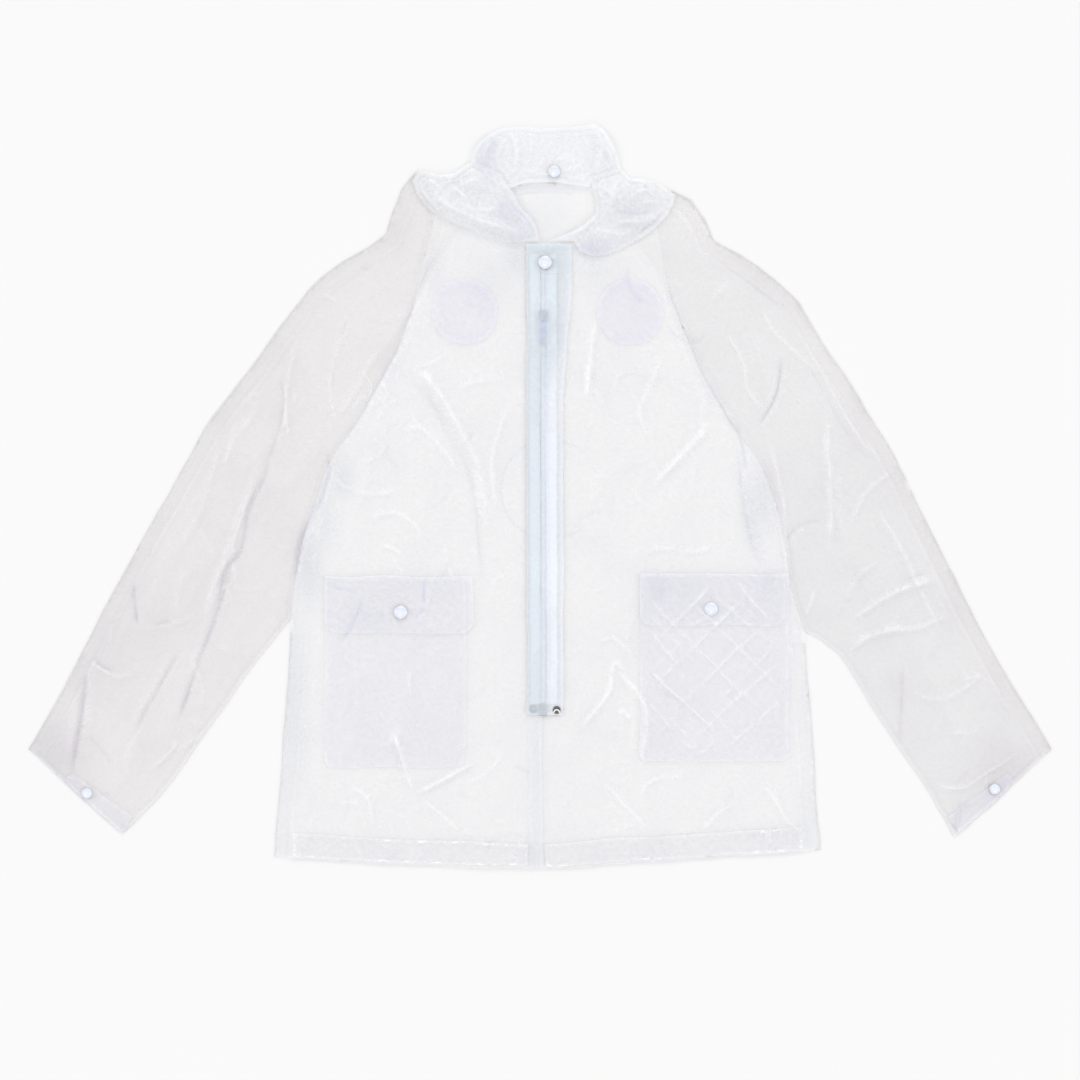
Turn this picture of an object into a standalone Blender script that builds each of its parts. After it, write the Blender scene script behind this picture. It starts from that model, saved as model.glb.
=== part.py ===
"""A clear film rain jacket laid flat on its back, front up, as separate cut pieces.

Every length is in millimetres until it becomes a mesh. X runs across the garment, Y from hem
to hood and Z up from the surface it lies on. Left and right are the wearer's, so right is -X.
The origin is on the surface, under the middle of the garment's width and length.
"""

import math
from collections import namedtuple

import bpy
from mathutils.geometry import delaunay_2d_cdt

MM = 0.001
SIGN = {"right": -1, "left": 1}  # the wearer's side, and the way along X that it lies

# Film and the way its layers lie on each other
WALL = 1.0  # thickness of each film wall
GAP = 0.3  # clearance between pieces that touch
LAYER = WALL + GAP  # step from one layer to the next
FOLD_REACH = 16.0  # how far the back pieces fold over onto the front at a long edge
FOLD_ROUND = 0.6  # rounding of that folded edge
EDGE_STEP = 22.0  # spacing of points along cut edges
PANEL_PITCH = 30.0  # spacing of points inside a panel
HOOD_STEP = 13.0
HOOD_PITCH = 15.0

# Centre front
CENTRE = 4.0  # the zip's line
ZIP_TOP, ZIP_BOTTOM = 290.0, -249.0
CHAIN_WIDTH, CHAIN_HEIGHT = 6.0, 2.4
TAPE_WIDTH = 13.0
FLAP_TOP, FLAP_BOTTOM = 301.0, -263.0
LAP_WIDTH = 15.0
HEM_DEPTH = 30.0
LIFT_START, LIFT_END = 3.0, 14.0  # above the back's hem, where the fronts come down off it
SLIDER_AT = 214.0  # the slider's middle along the zip
SLIDER_LENGTH, SLIDER_WIDTH, SLIDER_PLATE = 17.0, 11.0, 1.6
BRIDGE_WIDTH, BRIDGE_LENGTH, BRIDGE_RISE, BRIDGE_BAR = 2.6, 9.0, 3.4, 1.2
PULL_LENGTH, PULL_WIDTH, PULL_THICK = 34.0, 8.0, 1.2
PULL_EYE, PULL_BORDER = 4.6, 1.4
TAB_WIDTH = 20.0
BOX_WIDTH, BOX_LENGTH, BOX_HEIGHT = 10.0, 13.0, CHAIN_HEIGHT

# Pockets, as the edges of the bag and of its flap
Pocket = namedtuple("Pocket", "side inner outer top bottom flap_inner flap_outer flap_bottom corner")
POCKETS = (
    Pocket("right", -89, -258, -97, -326, -80, -258, -165, 16),
    Pocket("left", 120, 298, -94, -319, 120, 294, -156, 14),
)

# Round patches welded to the chest
Patch = namedtuple("Patch", "side x y radius")
PATCHES = (Patch("right", -90, 220, 39.5), Patch("left", 108, 220, 39.5))

# Press studs: the cap's place and radius
Stud = namedtuple("Stud", "name x y radius")
STUDS = (
    Stud("snap_neck", 6, 279, 8.0),
    Stud("snap_hood_back", 17, 388, 7.2),
    Stud("snap_pocket_right", -167, -140, 8.0),
    Stud("snap_pocket_left", 205, -136, 8.0),
    Stud("snap_cuff_right", -543, -357, 6.4),
    Stud("snap_cuff_left", 545, -352, 6.4),
)
STUD_PROFILE = ((1.0, 0.0), (1.0, 0.9), (0.86, 1.7), (0.62, 1.9), (0.46, 1.3), (0.0, 1.3))
RIVET_PROFILE = ((1.0, 0.0), (1.0, 0.4), (0.8, 1.0), (0.55, 1.0), (0.4, 0.4), (0.0, 0.4))
ROUND_SIDES = 18
RIVETS = (Stud("rivet_right", -8, -256, 5.0), Stud("rivet_left", 20, -257, 4.8))

# Cut edges and seams: the points that a smooth curve passes, x then y
Lines = namedtuple("Lines", "neckline raglan raglan_back underarm side shoulder sleeve_top cuff sleeve_under")
LINES = {
    "right": Lines(
        neckline=((-128, 338), (-106, 327), (-86, 319), (-66, 313), (-46, 305), (-24, 303), (CENTRE, 303)),
        raglan=((-128, 338), (-136, 294), (-147, 248), (-162, 199), (-186, 145), (-222, 85), (-256, 33)),
        raglan_back=((-60, 368), (-118, 285), (-165, 200), (-208, 115), (-256, 33)),
        underarm=((-256, 33), (-277, -31), (-293, -98), (-299, -147)),
        side=((-299, -147), (-304, -245), (-312, -341), (-318, -434)),
        shoulder=(
            (-147, 389), (-166, 367), (-177, 340), (-185, 313), (-246, 273), (-276, 250), (-291, 231),
        ),
        sleeve_top=(
            (-291, 231), (-348, 151), (-402, 79), (-450, -5), (-504, -101), (-576, -239), (-614, -305),
        ),
        cuff=((-614, -305), (-502, -405)),
        sleeve_under=((-502, -405), (-456, -359), (-402, -285), (-348, -209), (-299, -147)),
    ),
    "left": Lines(
        neckline=((140, 330), (122, 316), (98, 307), (70, 303), (40, 302), (CENTRE, 303)),
        raglan=((140, 330), (147, 282), (158, 235), (176, 187), (198, 140), (228, 88), (262, 40)),
        raglan_back=((72, 366), (128, 285), (172, 200), (216, 118), (262, 40)),
        underarm=((262, 40), (284, -10), (296, -70), (301, -110), (318, -161)),
        side=((318, -161), (324, -245), (330, -341), (336, -425)),
        shoulder=((158, 365), (180, 354), (197, 332), (208, 306), (240, 289), (282, 259), (312, 232)),
        sleeve_top=(
            (312, 232), (336, 187), (384, 115), (426, 45), (474, -53), (522, -149), (564, -221), (614, -305),
        ),
        cuff=((614, -305), (498, -411)),
        sleeve_under=((498, -411), (462, -347), (408, -269), (360, -191), (318, -161)),
    ),
}
NECK_BACK = ((-60, 368), (-30, 373), (6, 376), (40, 374), (72, 366))
HEM = ((-318, -434), (-168, -442), (CENTRE, -447), (192, -435), (336, -425))

# The hood, collapsed round the neck: each piece's outline. The stud at its back is on the last.
HOOD = {
    "hood_right": (
        (0, 304), (-24, 302), (-46, 303), (-66, 311), (-86, 318), (-106, 326), (-130, 338),
        (-148, 359), (-153, 376), (-148, 389), (-134, 387), (-120, 384), (-104, 386), (-84, 398),
        (-68, 390), (-50, 382), (-38, 363), (-26, 349), (-10, 334), (-2, 318),
    ),
    "hood_left": (
        (9, 305), (24, 304), (40, 303), (47, 292), (62, 286), (82, 288), (102, 297), (124, 309),
        (146, 327), (160, 346), (163, 360), (150, 370), (140, 376), (124, 381), (110, 380),
        (98, 390), (82, 384), (66, 378), (67, 356), (65, 338), (52, 324), (30, 313),
    ),
    "hood_crown": (
        (-84, 400), (-82, 412), (-74, 424), (-62, 435), (-46, 443), (-20, 444), (0, 442), (40, 444),
        (66, 447), (78, 441), (87, 427), (95, 409), (98, 392), (81, 386), (64, 380), (60, 369),
        (34, 372), (6, 374), (-20, 372), (-37, 370), (-48, 384), (-68, 392),
    ),
}
LAYERED_RIM = (  # (inset, rise) from the foot of a folded heap to the edge of its top
    (0.8, 0.0),
    (0.0, 0.5),
    (0.8, 1.2),
    (2.2, 1.4),
    (1.0, 1.9),
    (1.8, 2.9),
)
HOOD_SUPPORT = 2 * LAYER  # the hood lies on two layers at the shoulders
RAMP_START, RAMP_END = 2.0, 10.0  # past the shoulder line it comes down to the surface

# Largest folds: where the crest runs, how high it stands and how wide each side of it is
Fold = namedtuple("Fold", "part rise half_width crest")
FOLDS = (
    Fold("sleeve_right", 6.0, 13, ((-322, 57), (-355, -34), (-378, -98), (-408, -206), (-428, -263))),
    Fold("sleeve_right", 4.5, 10, ((-542, -190), (-552, -262), (-560, -336))),
    Fold("sleeve_right", 3.0, 12, ((-428, -30), (-452, -92), (-474, -166))),
    Fold("sleeve_right", 3.5, 11, ((-466, -262), (-486, -300), (-492, -340))),
    Fold("sleeve_right", 3.0, 12, ((-330, 150), (-352, 96), (-372, 30))),
    Fold("sleeve_left", 4.5, 13, ((342, 96), (352, 10), (356, -72))),
    Fold("sleeve_left", 3.0, 11, ((398, -120), (440, -112), (484, -96))),
    Fold("sleeve_left", 3.5, 11, ((362, -176), (392, -176), (428, -152))),
    Fold("sleeve_left", 3.0, 12, ((452, -190), (488, -262), (516, -316))),
    Fold("sleeve_left", 3.0, 12, ((250, 196), (272, 132), (262, 84))),
    Fold("front_right", 4.5, 13, ((-167, 150), (-130, 130), (-97, 79), (-72, 26), (-60, -66))),
    Fold("front_right", 3.5, 9, ((-262, -10), (-272, -62), (-284, -118))),
    Fold("front_right", 4.0, 10, ((-176, -272), (-152, -352))),
    Fold("front_right", 4.0, 10, ((-142, -356), (-74, -314))),
    Fold("front_left", 3.5, 11, ((70, 172), (62, 100), (66, 48))),
    Fold("front_left", 4.0, 12, ((206, 92), (168, 49), (126, 2))),
    Fold("front_left", 5.0, 13, ((240, 48), (254, -20), (272, -84))),
    Fold("front_left", 4.5, 10, ((82, -196), (104, -232), (106, -330))),
)
FLAP_FOLD = Fold("pocket_flap_right", 3.0, 8, ((-138, -104), (-139, -132), (-141, -158)))
FOLD_ENDS = 0.22  # share of a fold's length over which each end runs out
FOLD_STEP = 17.0
Swell = namedtuple("Swell", "part x y along across turn rise")
SWELLS = (  # broad low rounding of a panel where air stays under it
    Swell("sleeve_right", -400, -60, 300, 70, 57, 1.6),
    Swell("sleeve_left", 400, -60, 300, 70, -57, 1.6),
    Swell("front_right", -130, 60, 200, 105, 90, 1.4),
    Swell("front_left", 150, 60, 200, 105, 90, 1.4),
)
HOOD_FOLDS = (
    Fold("hood_right", 4.5, 12, ((-140, 372), (-122, 352), (-84, 333), (-46, 318), (-16, 314))),
    Fold("hood_right", 4.0, 9, ((-70, 374), (-54, 360), (-36, 344), (-18, 328))),
    Fold("hood_right", 3.0, 9, ((-126, 376), (-102, 366), (-84, 382))),
    Fold("hood_left", 4.5, 10, ((80, 374), (80, 352), (72, 328), (50, 306))),
    Fold("hood_left", 4.0, 9, ((92, 330), (118, 324), (142, 340))),
    Fold("hood_left", 3.5, 9, ((104, 368), (126, 366), (146, 352))),
    Fold("hood_crown", 6.0, 13, ((-70, 398), (-69, 411), (-56, 431))),
    Fold("hood_crown", 2.0, 7, ((-32, 438), (-26, 415), (-29, 392))),
    Fold("hood_crown", 6.0, 12, ((86, 396), (82, 414), (72, 436))),
)
HOOD_DOME = {"hood_right": 6.0, "hood_left": 6.0, "hood_crown": 1.4}
DOME_RUN = 26.0  # distance from the edge over which a heap reaches its full height

# Storm flap across its width: distance from its free edge, and height of its underside
CHAIN_CLEAR = GAP + CHAIN_HEIGHT + GAP
FLAP_SECTION = (
    (0, 0.4),
    (3, LAYER + GAP),
    (13, LAYER + GAP),
    (14.5, CHAIN_CLEAR),
    (25.5, CHAIN_CLEAR),
    (27, LAYER + GAP),
    (37, LAYER + GAP),
    (39, GAP),
    (60, GAP),
)
FLAP_EDGE = CENTRE - 20.0
FLAP_WIDE, FLAP_NARROW = 54.0, 44.0
FLAP_TAPER = (247.0, 115.0)
SLIDER_BUMP = 5.5  # extra height of the flap over the slider, run out along and across it
BUMP_ALONG = ((164, 0.0), (179, 3.7), (205, SLIDER_BUMP), (223, SLIDER_BUMP), (240, 0.0))
BUMP_ROWS = tuple(y for y, _ in BUMP_ALONG)
BUMP_ACROSS = ((-17, 0.0), (-5.5, 1.0), (5.5, 1.0), (19, 0.0))

# The cuff tab: distance along the cuff from its outer corner, then in from the edge
CUFF_TAB = (
    (60, 3), (57, 9), (61, 15), (78, 17), (104, 19), (126, 22), (147, 24), (149, 1.5), (104, 1.2), (74, 1.2),
)

COLOURS = {  # material: base colour, roughness, metallic, alpha
    "film": ((0.86, 0.87, 0.90), 0.22, 0.0, 0.35),
    "lilac_film": ((0.78, 0.77, 0.92), 0.25, 0.0, 0.5),
    "blue_film": ((0.72, 0.83, 0.90), 0.25, 0.0, 0.55),
    "zip_plastic": ((0.70, 0.78, 0.88), 0.35, 0.0, 1.0),
    "snap_plastic": ((0.86, 0.89, 0.96), 0.2, 0.0, 1.0),
    "bright_metal": ((0.55, 0.56, 0.58), 0.15, 1.0, 1.0),
}


# Plane geometry


def curve(points, step=EDGE_STEP):
    """Points about step apart on the smooth curve that passes the given points."""
    ends = [points[0], *points, points[-1]]
    found = [tuple(map(float, points[0]))]
    for a, b, c, d in zip(ends, ends[1:], ends[2:], ends[3:]):
        pieces = max(1, round(math.dist(b, c) / step))
        for i in range(1, pieces + 1):
            t = i / pieces
            found.append(tuple(catmull_rom(a[k], b[k], c[k], d[k], t) for k in range(2)))
    return found


def catmull_rom(a, b, c, d, t):
    return 0.5 * (2 * b + (c - a) * t + (2 * a - 5 * b + 4 * c - d) * t**2 + (3 * b - a - 3 * c + d) * t**3)


def ring_of(*runs):
    """One closed outline, anticlockwise, from runs of points that meet end to end."""
    ring = []
    for run in runs:
        ring += [p for p in run if not ring or math.dist(p, ring[-1]) > 1e-6]
    if math.dist(ring[0], ring[-1]) < 1e-6:
        ring.pop()
    return ring if area(ring) > 0 else ring[::-1]


def area(ring):
    return sum(a[0] * b[1] - b[0] * a[1] for a, b in zip(ring, ring[1:] + ring[:1])) / 2


def inset(ring, distance):
    """The outline moved inward by distance."""
    moved = []
    for before, at, after in zip(ring[-1:] + ring[:-1], ring, ring[1:] + ring[:1]):
        moved.append(pushed(at, before, after, distance))
    return moved


def pushed(at, before, after, distance):
    """The point moved to the left of the way from before to after, as a mitred corner moves."""
    normals = []
    for a, b in ((before, at), (at, after)):
        length = math.dist(a, b)
        if length > 1e-9:
            normals.append(((a[1] - b[1]) / length, (b[0] - a[0]) / length))
    x, y = (sum(n[k] for n in normals) / len(normals) for k in range(2))
    size = max(x * x + y * y, 0.3)
    return at[0] + x / size * distance, at[1] + y / size * distance


def beside(line, distance, first=None, last=None):
    """The open line moved to its left by distance. An end can move toward a given point instead."""
    before, after = [line[0], *line[:-1]], [*line[1:], line[-1]]
    moved = [pushed(p, a, b, distance) for a, p, b in zip(before, line, after)]
    if first:
        moved[0] = toward(line[0], first, distance)
    if last:
        moved[-1] = toward(line[-1], last, distance)
    return moved


def corner_beyond(ring, end, inner):
    """The ring's point past the end of a run, if the ring turns a corner there."""
    i = ring.index(end)
    beyond = ring[i - 1] if ring[(i + 1) % len(ring)] == inner else ring[(i + 1) % len(ring)]
    (ax, ay), (bx, by) = ((p[0] - q[0], p[1] - q[1]) for p, q in ((end, inner), (beyond, end)))
    turn = abs(math.atan2(ax * by - ay * bx, ax * bx + ay * by))
    return beyond if turn > math.radians(40) else None


def toward(start, goal, distance):
    """The point that lies distance from start on the way to goal."""
    share = abs(distance) / math.dist(start, goal)
    return tuple(a + (b - a) * share for a, b in zip(start, goal))


def inside(ring, x, y):
    found = False
    for (ax, ay), (bx, by) in zip(ring, ring[1:] + ring[:1]):
        if (ay > y) != (by > y) and x < ax + (y - ay) / (by - ay) * (bx - ax):
            found = not found
    return found


def nearest(line, x, y):
    """Distance from a point to an open line, and the share of the line's length there."""
    best, place, run = math.inf, 0.0, 0.0
    for (ax, ay), (bx, by) in zip(line, line[1:]):
        length = math.hypot(bx - ax, by - ay)
        t = ((x - ax) * (bx - ax) + (y - ay) * (by - ay)) / max(length**2, 1e-9)
        t = min(max(t, 0.0), 1.0)
        away = math.hypot(x - ax - t * (bx - ax), y - ay - t * (by - ay))
        if away < best:
            best, place = away, run + t * length
        run += length
    return best, place / run


def circle(x, y, radius, sides):
    turns = (2 * math.pi * i / sides for i in range(sides))
    return [(x + radius * math.cos(t), y + radius * math.sin(t)) for t in turns]


def rounded_box(low, high, radius, corners=("bottom",)):
    """A rectangle's outline with its bottom corners, or all four, rounded by arcs."""
    (x0, y0), (x1, y1) = low, high
    spots = (
        (x1 - radius, y0 + radius, -90, "bottom"),
        (x1 - radius, y1 - radius, 0, "top"),
        (x0 + radius, y1 - radius, 90, "top"),
        (x0 + radius, y0 + radius, 180, "bottom"),
    )
    sharp = ((x1, y0), (x1, y1), (x0, y1), (x0, y0))
    ring = []
    for (x, y, start, where), corner in zip(spots, sharp):
        if where not in corners:
            ring.append(corner)
            continue
        for i in range(5):
            turn = math.radians(start + 22.5 * i)
            ring.append((x + radius * math.cos(turn), y + radius * math.sin(turn)))
    return ring


def smoothstep(t):
    t = min(max(t, 0.0), 1.0)
    return t * t * (3 - 2 * t)


def between(rows, x):
    """The second column of the rows at x of the first, read along straight lines."""
    if x <= rows[0][0]:
        return rows[0][1]
    for (a, low), (b, high) in zip(rows, rows[1:]):
        if x <= b:
            return low + (high - low) * (x - a) / (b - a)
    return rows[-1][1]


# Panels: one set of plan points that a film and all that lies on it share


class Panel:
    """A triangulated plan. Its guides are lines that must be edges of it."""

    def __init__(self, ring, guides=(), pitch=PANEL_PITCH):
        self.ring = ring
        lines = [ring + ring[:1], *guides]
        points, edges = [], []
        for line in lines:
            first = len(points)
            points += line
            edges += [(first + i, first + i + 1) for i in range(len(line) - 1)]
        points += self.lattice(lines, pitch)
        out = delaunay_2d_cdt(points, edges, [], 0, 0.02)
        self.points = [tuple(p) for p in out[0]]
        self.triangles = [tuple(f) for f in out[2] if inside(ring, *self.middle(f))]

    def lattice(self, lines, pitch):
        """Points in staggered rows inside the ring, clear of every line."""
        xs, ys = zip(*self.ring)
        found = []
        for row in range(int((max(ys) - min(ys)) / (0.87 * pitch)) + 1):
            y = min(ys) + 0.87 * pitch * (row + 0.5)
            for column in range(int((max(xs) - min(xs)) / pitch) + 2):
                x = min(xs) + pitch * (column + 0.5 * (row % 2))
                if inside(self.ring, x, y) and all(nearest(line, x, y)[0] > 0.5 * pitch for line in lines):
                    found.append((x, y))
        return found

    def middle(self, triangle):
        corners = [self.points[i] for i in triangle]
        return tuple(sum(c[k] for c in corners) / 3 for k in range(2))

    def within(self, ring):
        """The triangles that lie inside a ring, which is one of the panel's guides."""
        return [f for f in self.triangles if inside(ring, *self.middle(f))]


def wall(panel, bottom, top, triangles=None):
    """(vertices, faces) of the closed solid between two heights over a panel's triangles."""
    triangles = triangles or panel.triangles
    used = sorted({i for f in triangles for i in f})
    place = {i: n for n, i in enumerate(used)}
    plan = [panel.points[i] for i in used]
    vertices = [(x, y, bottom(x, y)) for x, y in plan] + [(x, y, top(x, y)) for x, y in plan]
    count = len(plan)
    lids = [tuple(place[i] for i in f) for f in triangles]
    faces = [f[::-1] for f in lids] + [tuple(i + count for i in f) for f in lids]
    for a, b in rim(lids):
        faces.append((a, b, b + count, a + count))
    return vertices, faces


def rim(triangles):
    """The directed edges that only one triangle has."""
    edges = {(f[i], f[(i + 1) % len(f)]) for f in triangles for i in range(len(f))}
    return [(a, b) for a, b in edges if (b, a) not in edges]


# Heights


def fold_height(folds, part, x, y):
    """How high a part's folds lift it at a place."""
    found = 0.0
    for fold in folds:
        if fold.part != part:
            continue
        away, along = nearest(fold.crest, x, y)
        if away < fold.half_width:
            ends = smoothstep(min(along, 1 - along) / FOLD_ENDS)
            found = max(found, fold.rise * ends * (1 - away / fold.half_width))
    return found


def fold_guides(folds, part, ring, step=FOLD_STEP):
    """The crest of each of a part's folds and the foot on each side, as far as the ring goes."""
    lines = []
    for fold in folds:
        if fold.part == part:
            crest = curve(fold.crest, step)
            lines += [crest, beside(crest, fold.half_width), beside(crest, -fold.half_width)]
    edge = ring + ring[:1]
    kept = []
    for line in lines:
        line = [p for p in line if inside(ring, *p) and nearest(edge, *p)[0] > 4.0]
        if len(line) > 1:
            kept.append(line)
    return kept


def swell_height(part, x, y):
    found = 0.0
    for s in SWELLS:
        if s.part == part:
            turn = math.radians(s.turn)
            dx, dy = x - s.x, y - s.y
            u = (dx * math.cos(turn) + dy * math.sin(turn)) / s.along
            v = (dy * math.cos(turn) - dx * math.sin(turn)) / s.across
            found += s.rise * max(0.0, 1 - u * u - v * v)
    return found


def crests(folds, part, step=FOLD_STEP):
    """A part's folds with their crests on the smooth curve that the mesh follows."""
    return [f._replace(crest=curve(f.crest, step)) for f in folds if f.part == part]


def hem_line(x):
    return between(HEM, x)


def front_lift(x, y):
    """Rise of the fronts over the back's turned hem."""
    above = y - hem_line(x) - HEM_DEPTH
    return LAYER * min(max((LIFT_END - above) / (LIFT_END - LIFT_START), 0.0), 1.0)


def upper_surface(part):
    """Height of the outer face of a front or of a sleeve's upper half."""
    folds = crests(FOLDS, part)
    front = part.startswith("front")

    def height(x, y):
        lift = front_lift(x, y) if front else 0.0
        return LAYER + WALL + lift + fold_height(folds, part, x, y) + swell_height(part, x, y)

    return height


def raised(height, amount):
    return lambda x, y: height(x, y) + amount


def level(z):
    return lambda x, y: z


# Objects


def material(name):
    found = bpy.data.materials.get(name)
    if found:
        return found
    colour, roughness, metallic, alpha = COLOURS[name]
    found = bpy.data.materials.new(name)
    found.use_nodes = True
    shader = found.node_tree.nodes["Principled BSDF"]
    shader.inputs["Base Color"].default_value = (*colour, 1)
    shader.inputs["Roughness"].default_value = roughness
    shader.inputs["Metallic"].default_value = metallic
    shader.inputs["Alpha"].default_value = alpha
    return found


def add(name, vertices, faces, finish, smooth=False):
    """One named object from millimetre vertices."""
    mesh = bpy.data.meshes.new(name)
    mesh.from_pydata([[c * MM for c in v] for v in vertices], [], faces)
    mesh.materials.append(material(finish))
    if smooth:
        mesh.shade_smooth()
        mesh.set_sharp_from_angle(angle=math.radians(40))
    mesh.validate()
    thing = bpy.data.objects.new(name, mesh)
    bpy.context.scene.collection.objects.link(thing)
    return thing


def add_film(name, panel, outer, finish="film", ring=None):
    """A film wall whose outer face is at outer, over the panel or over a ring drawn on it."""
    triangles = panel.within(ring) if ring else None
    return add(name, *wall(panel, raised(outer, -WALL), outer, triangles), finish)


def turned(name, x, y, z, radius, profile, finish):
    """A solid of revolution: the profile's rows are share of the radius, then height."""
    vertices, faces = [], []
    for share, rise in profile[:-1]:
        vertices += [(px, py, z + rise) for px, py in circle(x, y, radius * share, ROUND_SIDES)]
    for k in range(len(profile) - 2):
        for i in range(ROUND_SIDES):
            a, b = k * ROUND_SIDES + i, k * ROUND_SIDES + (i + 1) % ROUND_SIDES
            faces.append((a, b, b + ROUND_SIDES, a + ROUND_SIDES))
    faces.append(tuple(range(ROUND_SIDES))[::-1])
    last = (len(profile) - 2) * ROUND_SIDES
    vertices.append((x, y, z + profile[-1][1]))
    for i in range(ROUND_SIDES):
        faces.append((last + i, last + (i + 1) % ROUND_SIDES, len(vertices) - 1))
    return add(name, vertices, faces, finish, smooth=True)


def block(name, ring, low, high, finish):
    """A straight-sided solid over a convex ring."""
    count = len(ring)
    vertices = [(x, y, low) for x, y in ring] + [(x, y, high) for x, y in ring]
    faces = [tuple(range(count))[::-1], tuple(range(count, 2 * count))]
    faces += [(i, (i + 1) % count, (i + 1) % count + count, i + count) for i in range(count)]
    return add(name, vertices, faces, finish)


# Back and sleeve backs: flat film whose long edges fold over onto the front


def folded_film(name, ring, edges, guides=()):
    """Flat film on the surface. Each edge is a run of ring points whose film goes on round the fold."""
    panel = Panel(ring, guides, 2 * PANEL_PITCH)
    start = {key(p): i for i, p in enumerate(panel.points)}
    vertices, faces = wall(panel, level(0.0), level(WALL))
    used = sorted({i for f in panel.triangles for i in f})
    place = {i: n for n, i in enumerate(used)}
    count = len(used)
    for edge in edges:
        loop = [place[start[key(p)]] for p in edge]
        ends = corner_beyond(ring, edge[0], edge[1]), corner_beyond(ring, edge[-1], edge[-2])
        rims = {f[:2]: f for f in faces[2 * len(panel.triangles) :]}
        for a, b in zip(loop, loop[1:]):
            faces.remove(rims[(a, b)])
        rings = [loop]
        for distance, z in (
            (0.0, LAYER),
            (FOLD_ROUND, LAYER + WALL),
            (FOLD_REACH, LAYER + WALL),
            (FOLD_REACH, LAYER),
            (WALL, LAYER),
        ):
            first = len(vertices)
            vertices += [(x, y, z) for x, y in beside(edge, distance, *ends)]
            rings.append(list(range(first, len(vertices))))
        rings.append([i + count for i in loop])
        inner, foot = beside(edge, WALL, *ends), beside(edge, FOLD_ROUND, *ends)
        for (x, y), (rx, ry), low, high in zip(inner, foot, loop, rings[-1]):
            vertices[high] = (x, y, WALL)
            vertices[low] = (rx, ry, 0.0)
        for inner, outer in zip(rings, rings[1:]):
            for i in range(len(loop) - 1):
                faces.append((inner[i], inner[i + 1], outer[i + 1], outer[i]))
        faces.append(tuple(r[0] for r in rings))
        faces.append(tuple(r[-1] for r in rings[::-1]))
    add(name, vertices, faces, "film")
    return panel


def key(point):
    return tuple(round(c, 2) for c in point)


def curves(side):
    """A side's lines as smooth runs of points."""
    return Lines(*(curve(line) for line in LINES[side]))


def sleeve(side):
    """The back half, which folds over the long outer edge, and the front half up to that fold."""
    lines = curves(side)
    outer = lines.shoulder + lines.sleeve_top[1:]
    under = lines.sleeve_under + lines.underarm[::-1][1:]
    back = inset(ring_of(outer, lines.cuff, under, lines.raglan_back[::-1]), GAP / 2)
    folded_film(f"sleeve_back_{side}", back, [run_of(back, outer)])
    reach = (FOLD_REACH + GAP) * -SIGN[side]
    seam = beside(outer, reach, last=lines.cuff[-1])
    front = inset(ring_of(seam, under, lines.raglan[::-1]), GAP / 2)
    part = f"sleeve_{side}"
    height = upper_surface(part)
    tab = cuff_tab(side)
    guides = fold_guides(FOLDS, part, front)
    panel = Panel(front, [*guides, tab + tab[:1]])
    add_film(f"sleeve_front_{side}", panel, height)
    add_film(f"cuff_tab_{side}", panel, raised(height, LAYER), "lilac_film", tab)
    return raised(height, LAYER)


def run_of(ring, line):
    """The stretch of an inset ring that came from the points of a line, in the ring's direction."""
    picked = []
    for p in line:
        picked.append(min(range(len(ring)), key=lambda i: math.dist(ring[i], p)))
    if (picked[1] - picked[0]) % len(ring) != 1:
        picked.reverse()
    return [ring[i] for i in picked]


def cuff_tab(side):
    """The tab's outline on the sleeve, from its table of places along and in from the cuff."""
    sign = SIGN[side]
    (ax, ay), (bx, by) = LINES[side].cuff
    length = math.hypot(bx - ax, by - ay)
    ux, uy = (bx - ax) / length, (by - ay) / length
    nx, ny = uy * sign, -ux * sign
    ring = [(ax + ux * s + nx * n, ay + uy * s + ny * n) for s, n in CUFF_TAB]
    return ring if area(ring) > 0 else ring[::-1]


# Back, and the fronts with what lies on them


def back():
    """The back panel with its turned hem and neck band. Its sides fold over onto the fronts."""
    left, right = curves("left"), curves("right")
    down = left.raglan_back + left.underarm[1:] + left.side[1:]
    up = (right.raglan_back + right.underarm[1:] + right.side[1:])[::-1]
    ring = inset(ring_of(curve(NECK_BACK), down[1:], curve(HEM)[::-1][1:], up[1:]), GAP / 2)
    folded = [run_of(ring, lines.side[1:]) for lines in (right, left)]
    hem = hem_ring(-290, 308)
    band = neck_band()
    panel = folded_film("back", ring, folded, [hem + hem[:1], band + band[:1]])
    add_film("hem_back", panel, level(LAYER + WALL), ring=hem)
    add_film("neck_band", panel, level(LAYER + WALL), "lilac_film", band)


def hem_ring(left, right):
    """The strip along the hem between two places across the garment."""
    xs = [left, *(x for x in range(-280, 320, 28) if left < x < right), right]
    low = [(x, hem_line(x) + 2.0) for x in xs]
    high = [(x, hem_line(x) + HEM_DEPTH) for x in xs]
    return low + high[::-1]


def neck_band():
    """The seam allowance across the back of the neck."""
    edge = [p for p in curve(NECK_BACK) if -50 < p[0] < 62]
    return ring_of(beside(edge, -11.0), beside(edge, -2.0)[::-1])


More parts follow.
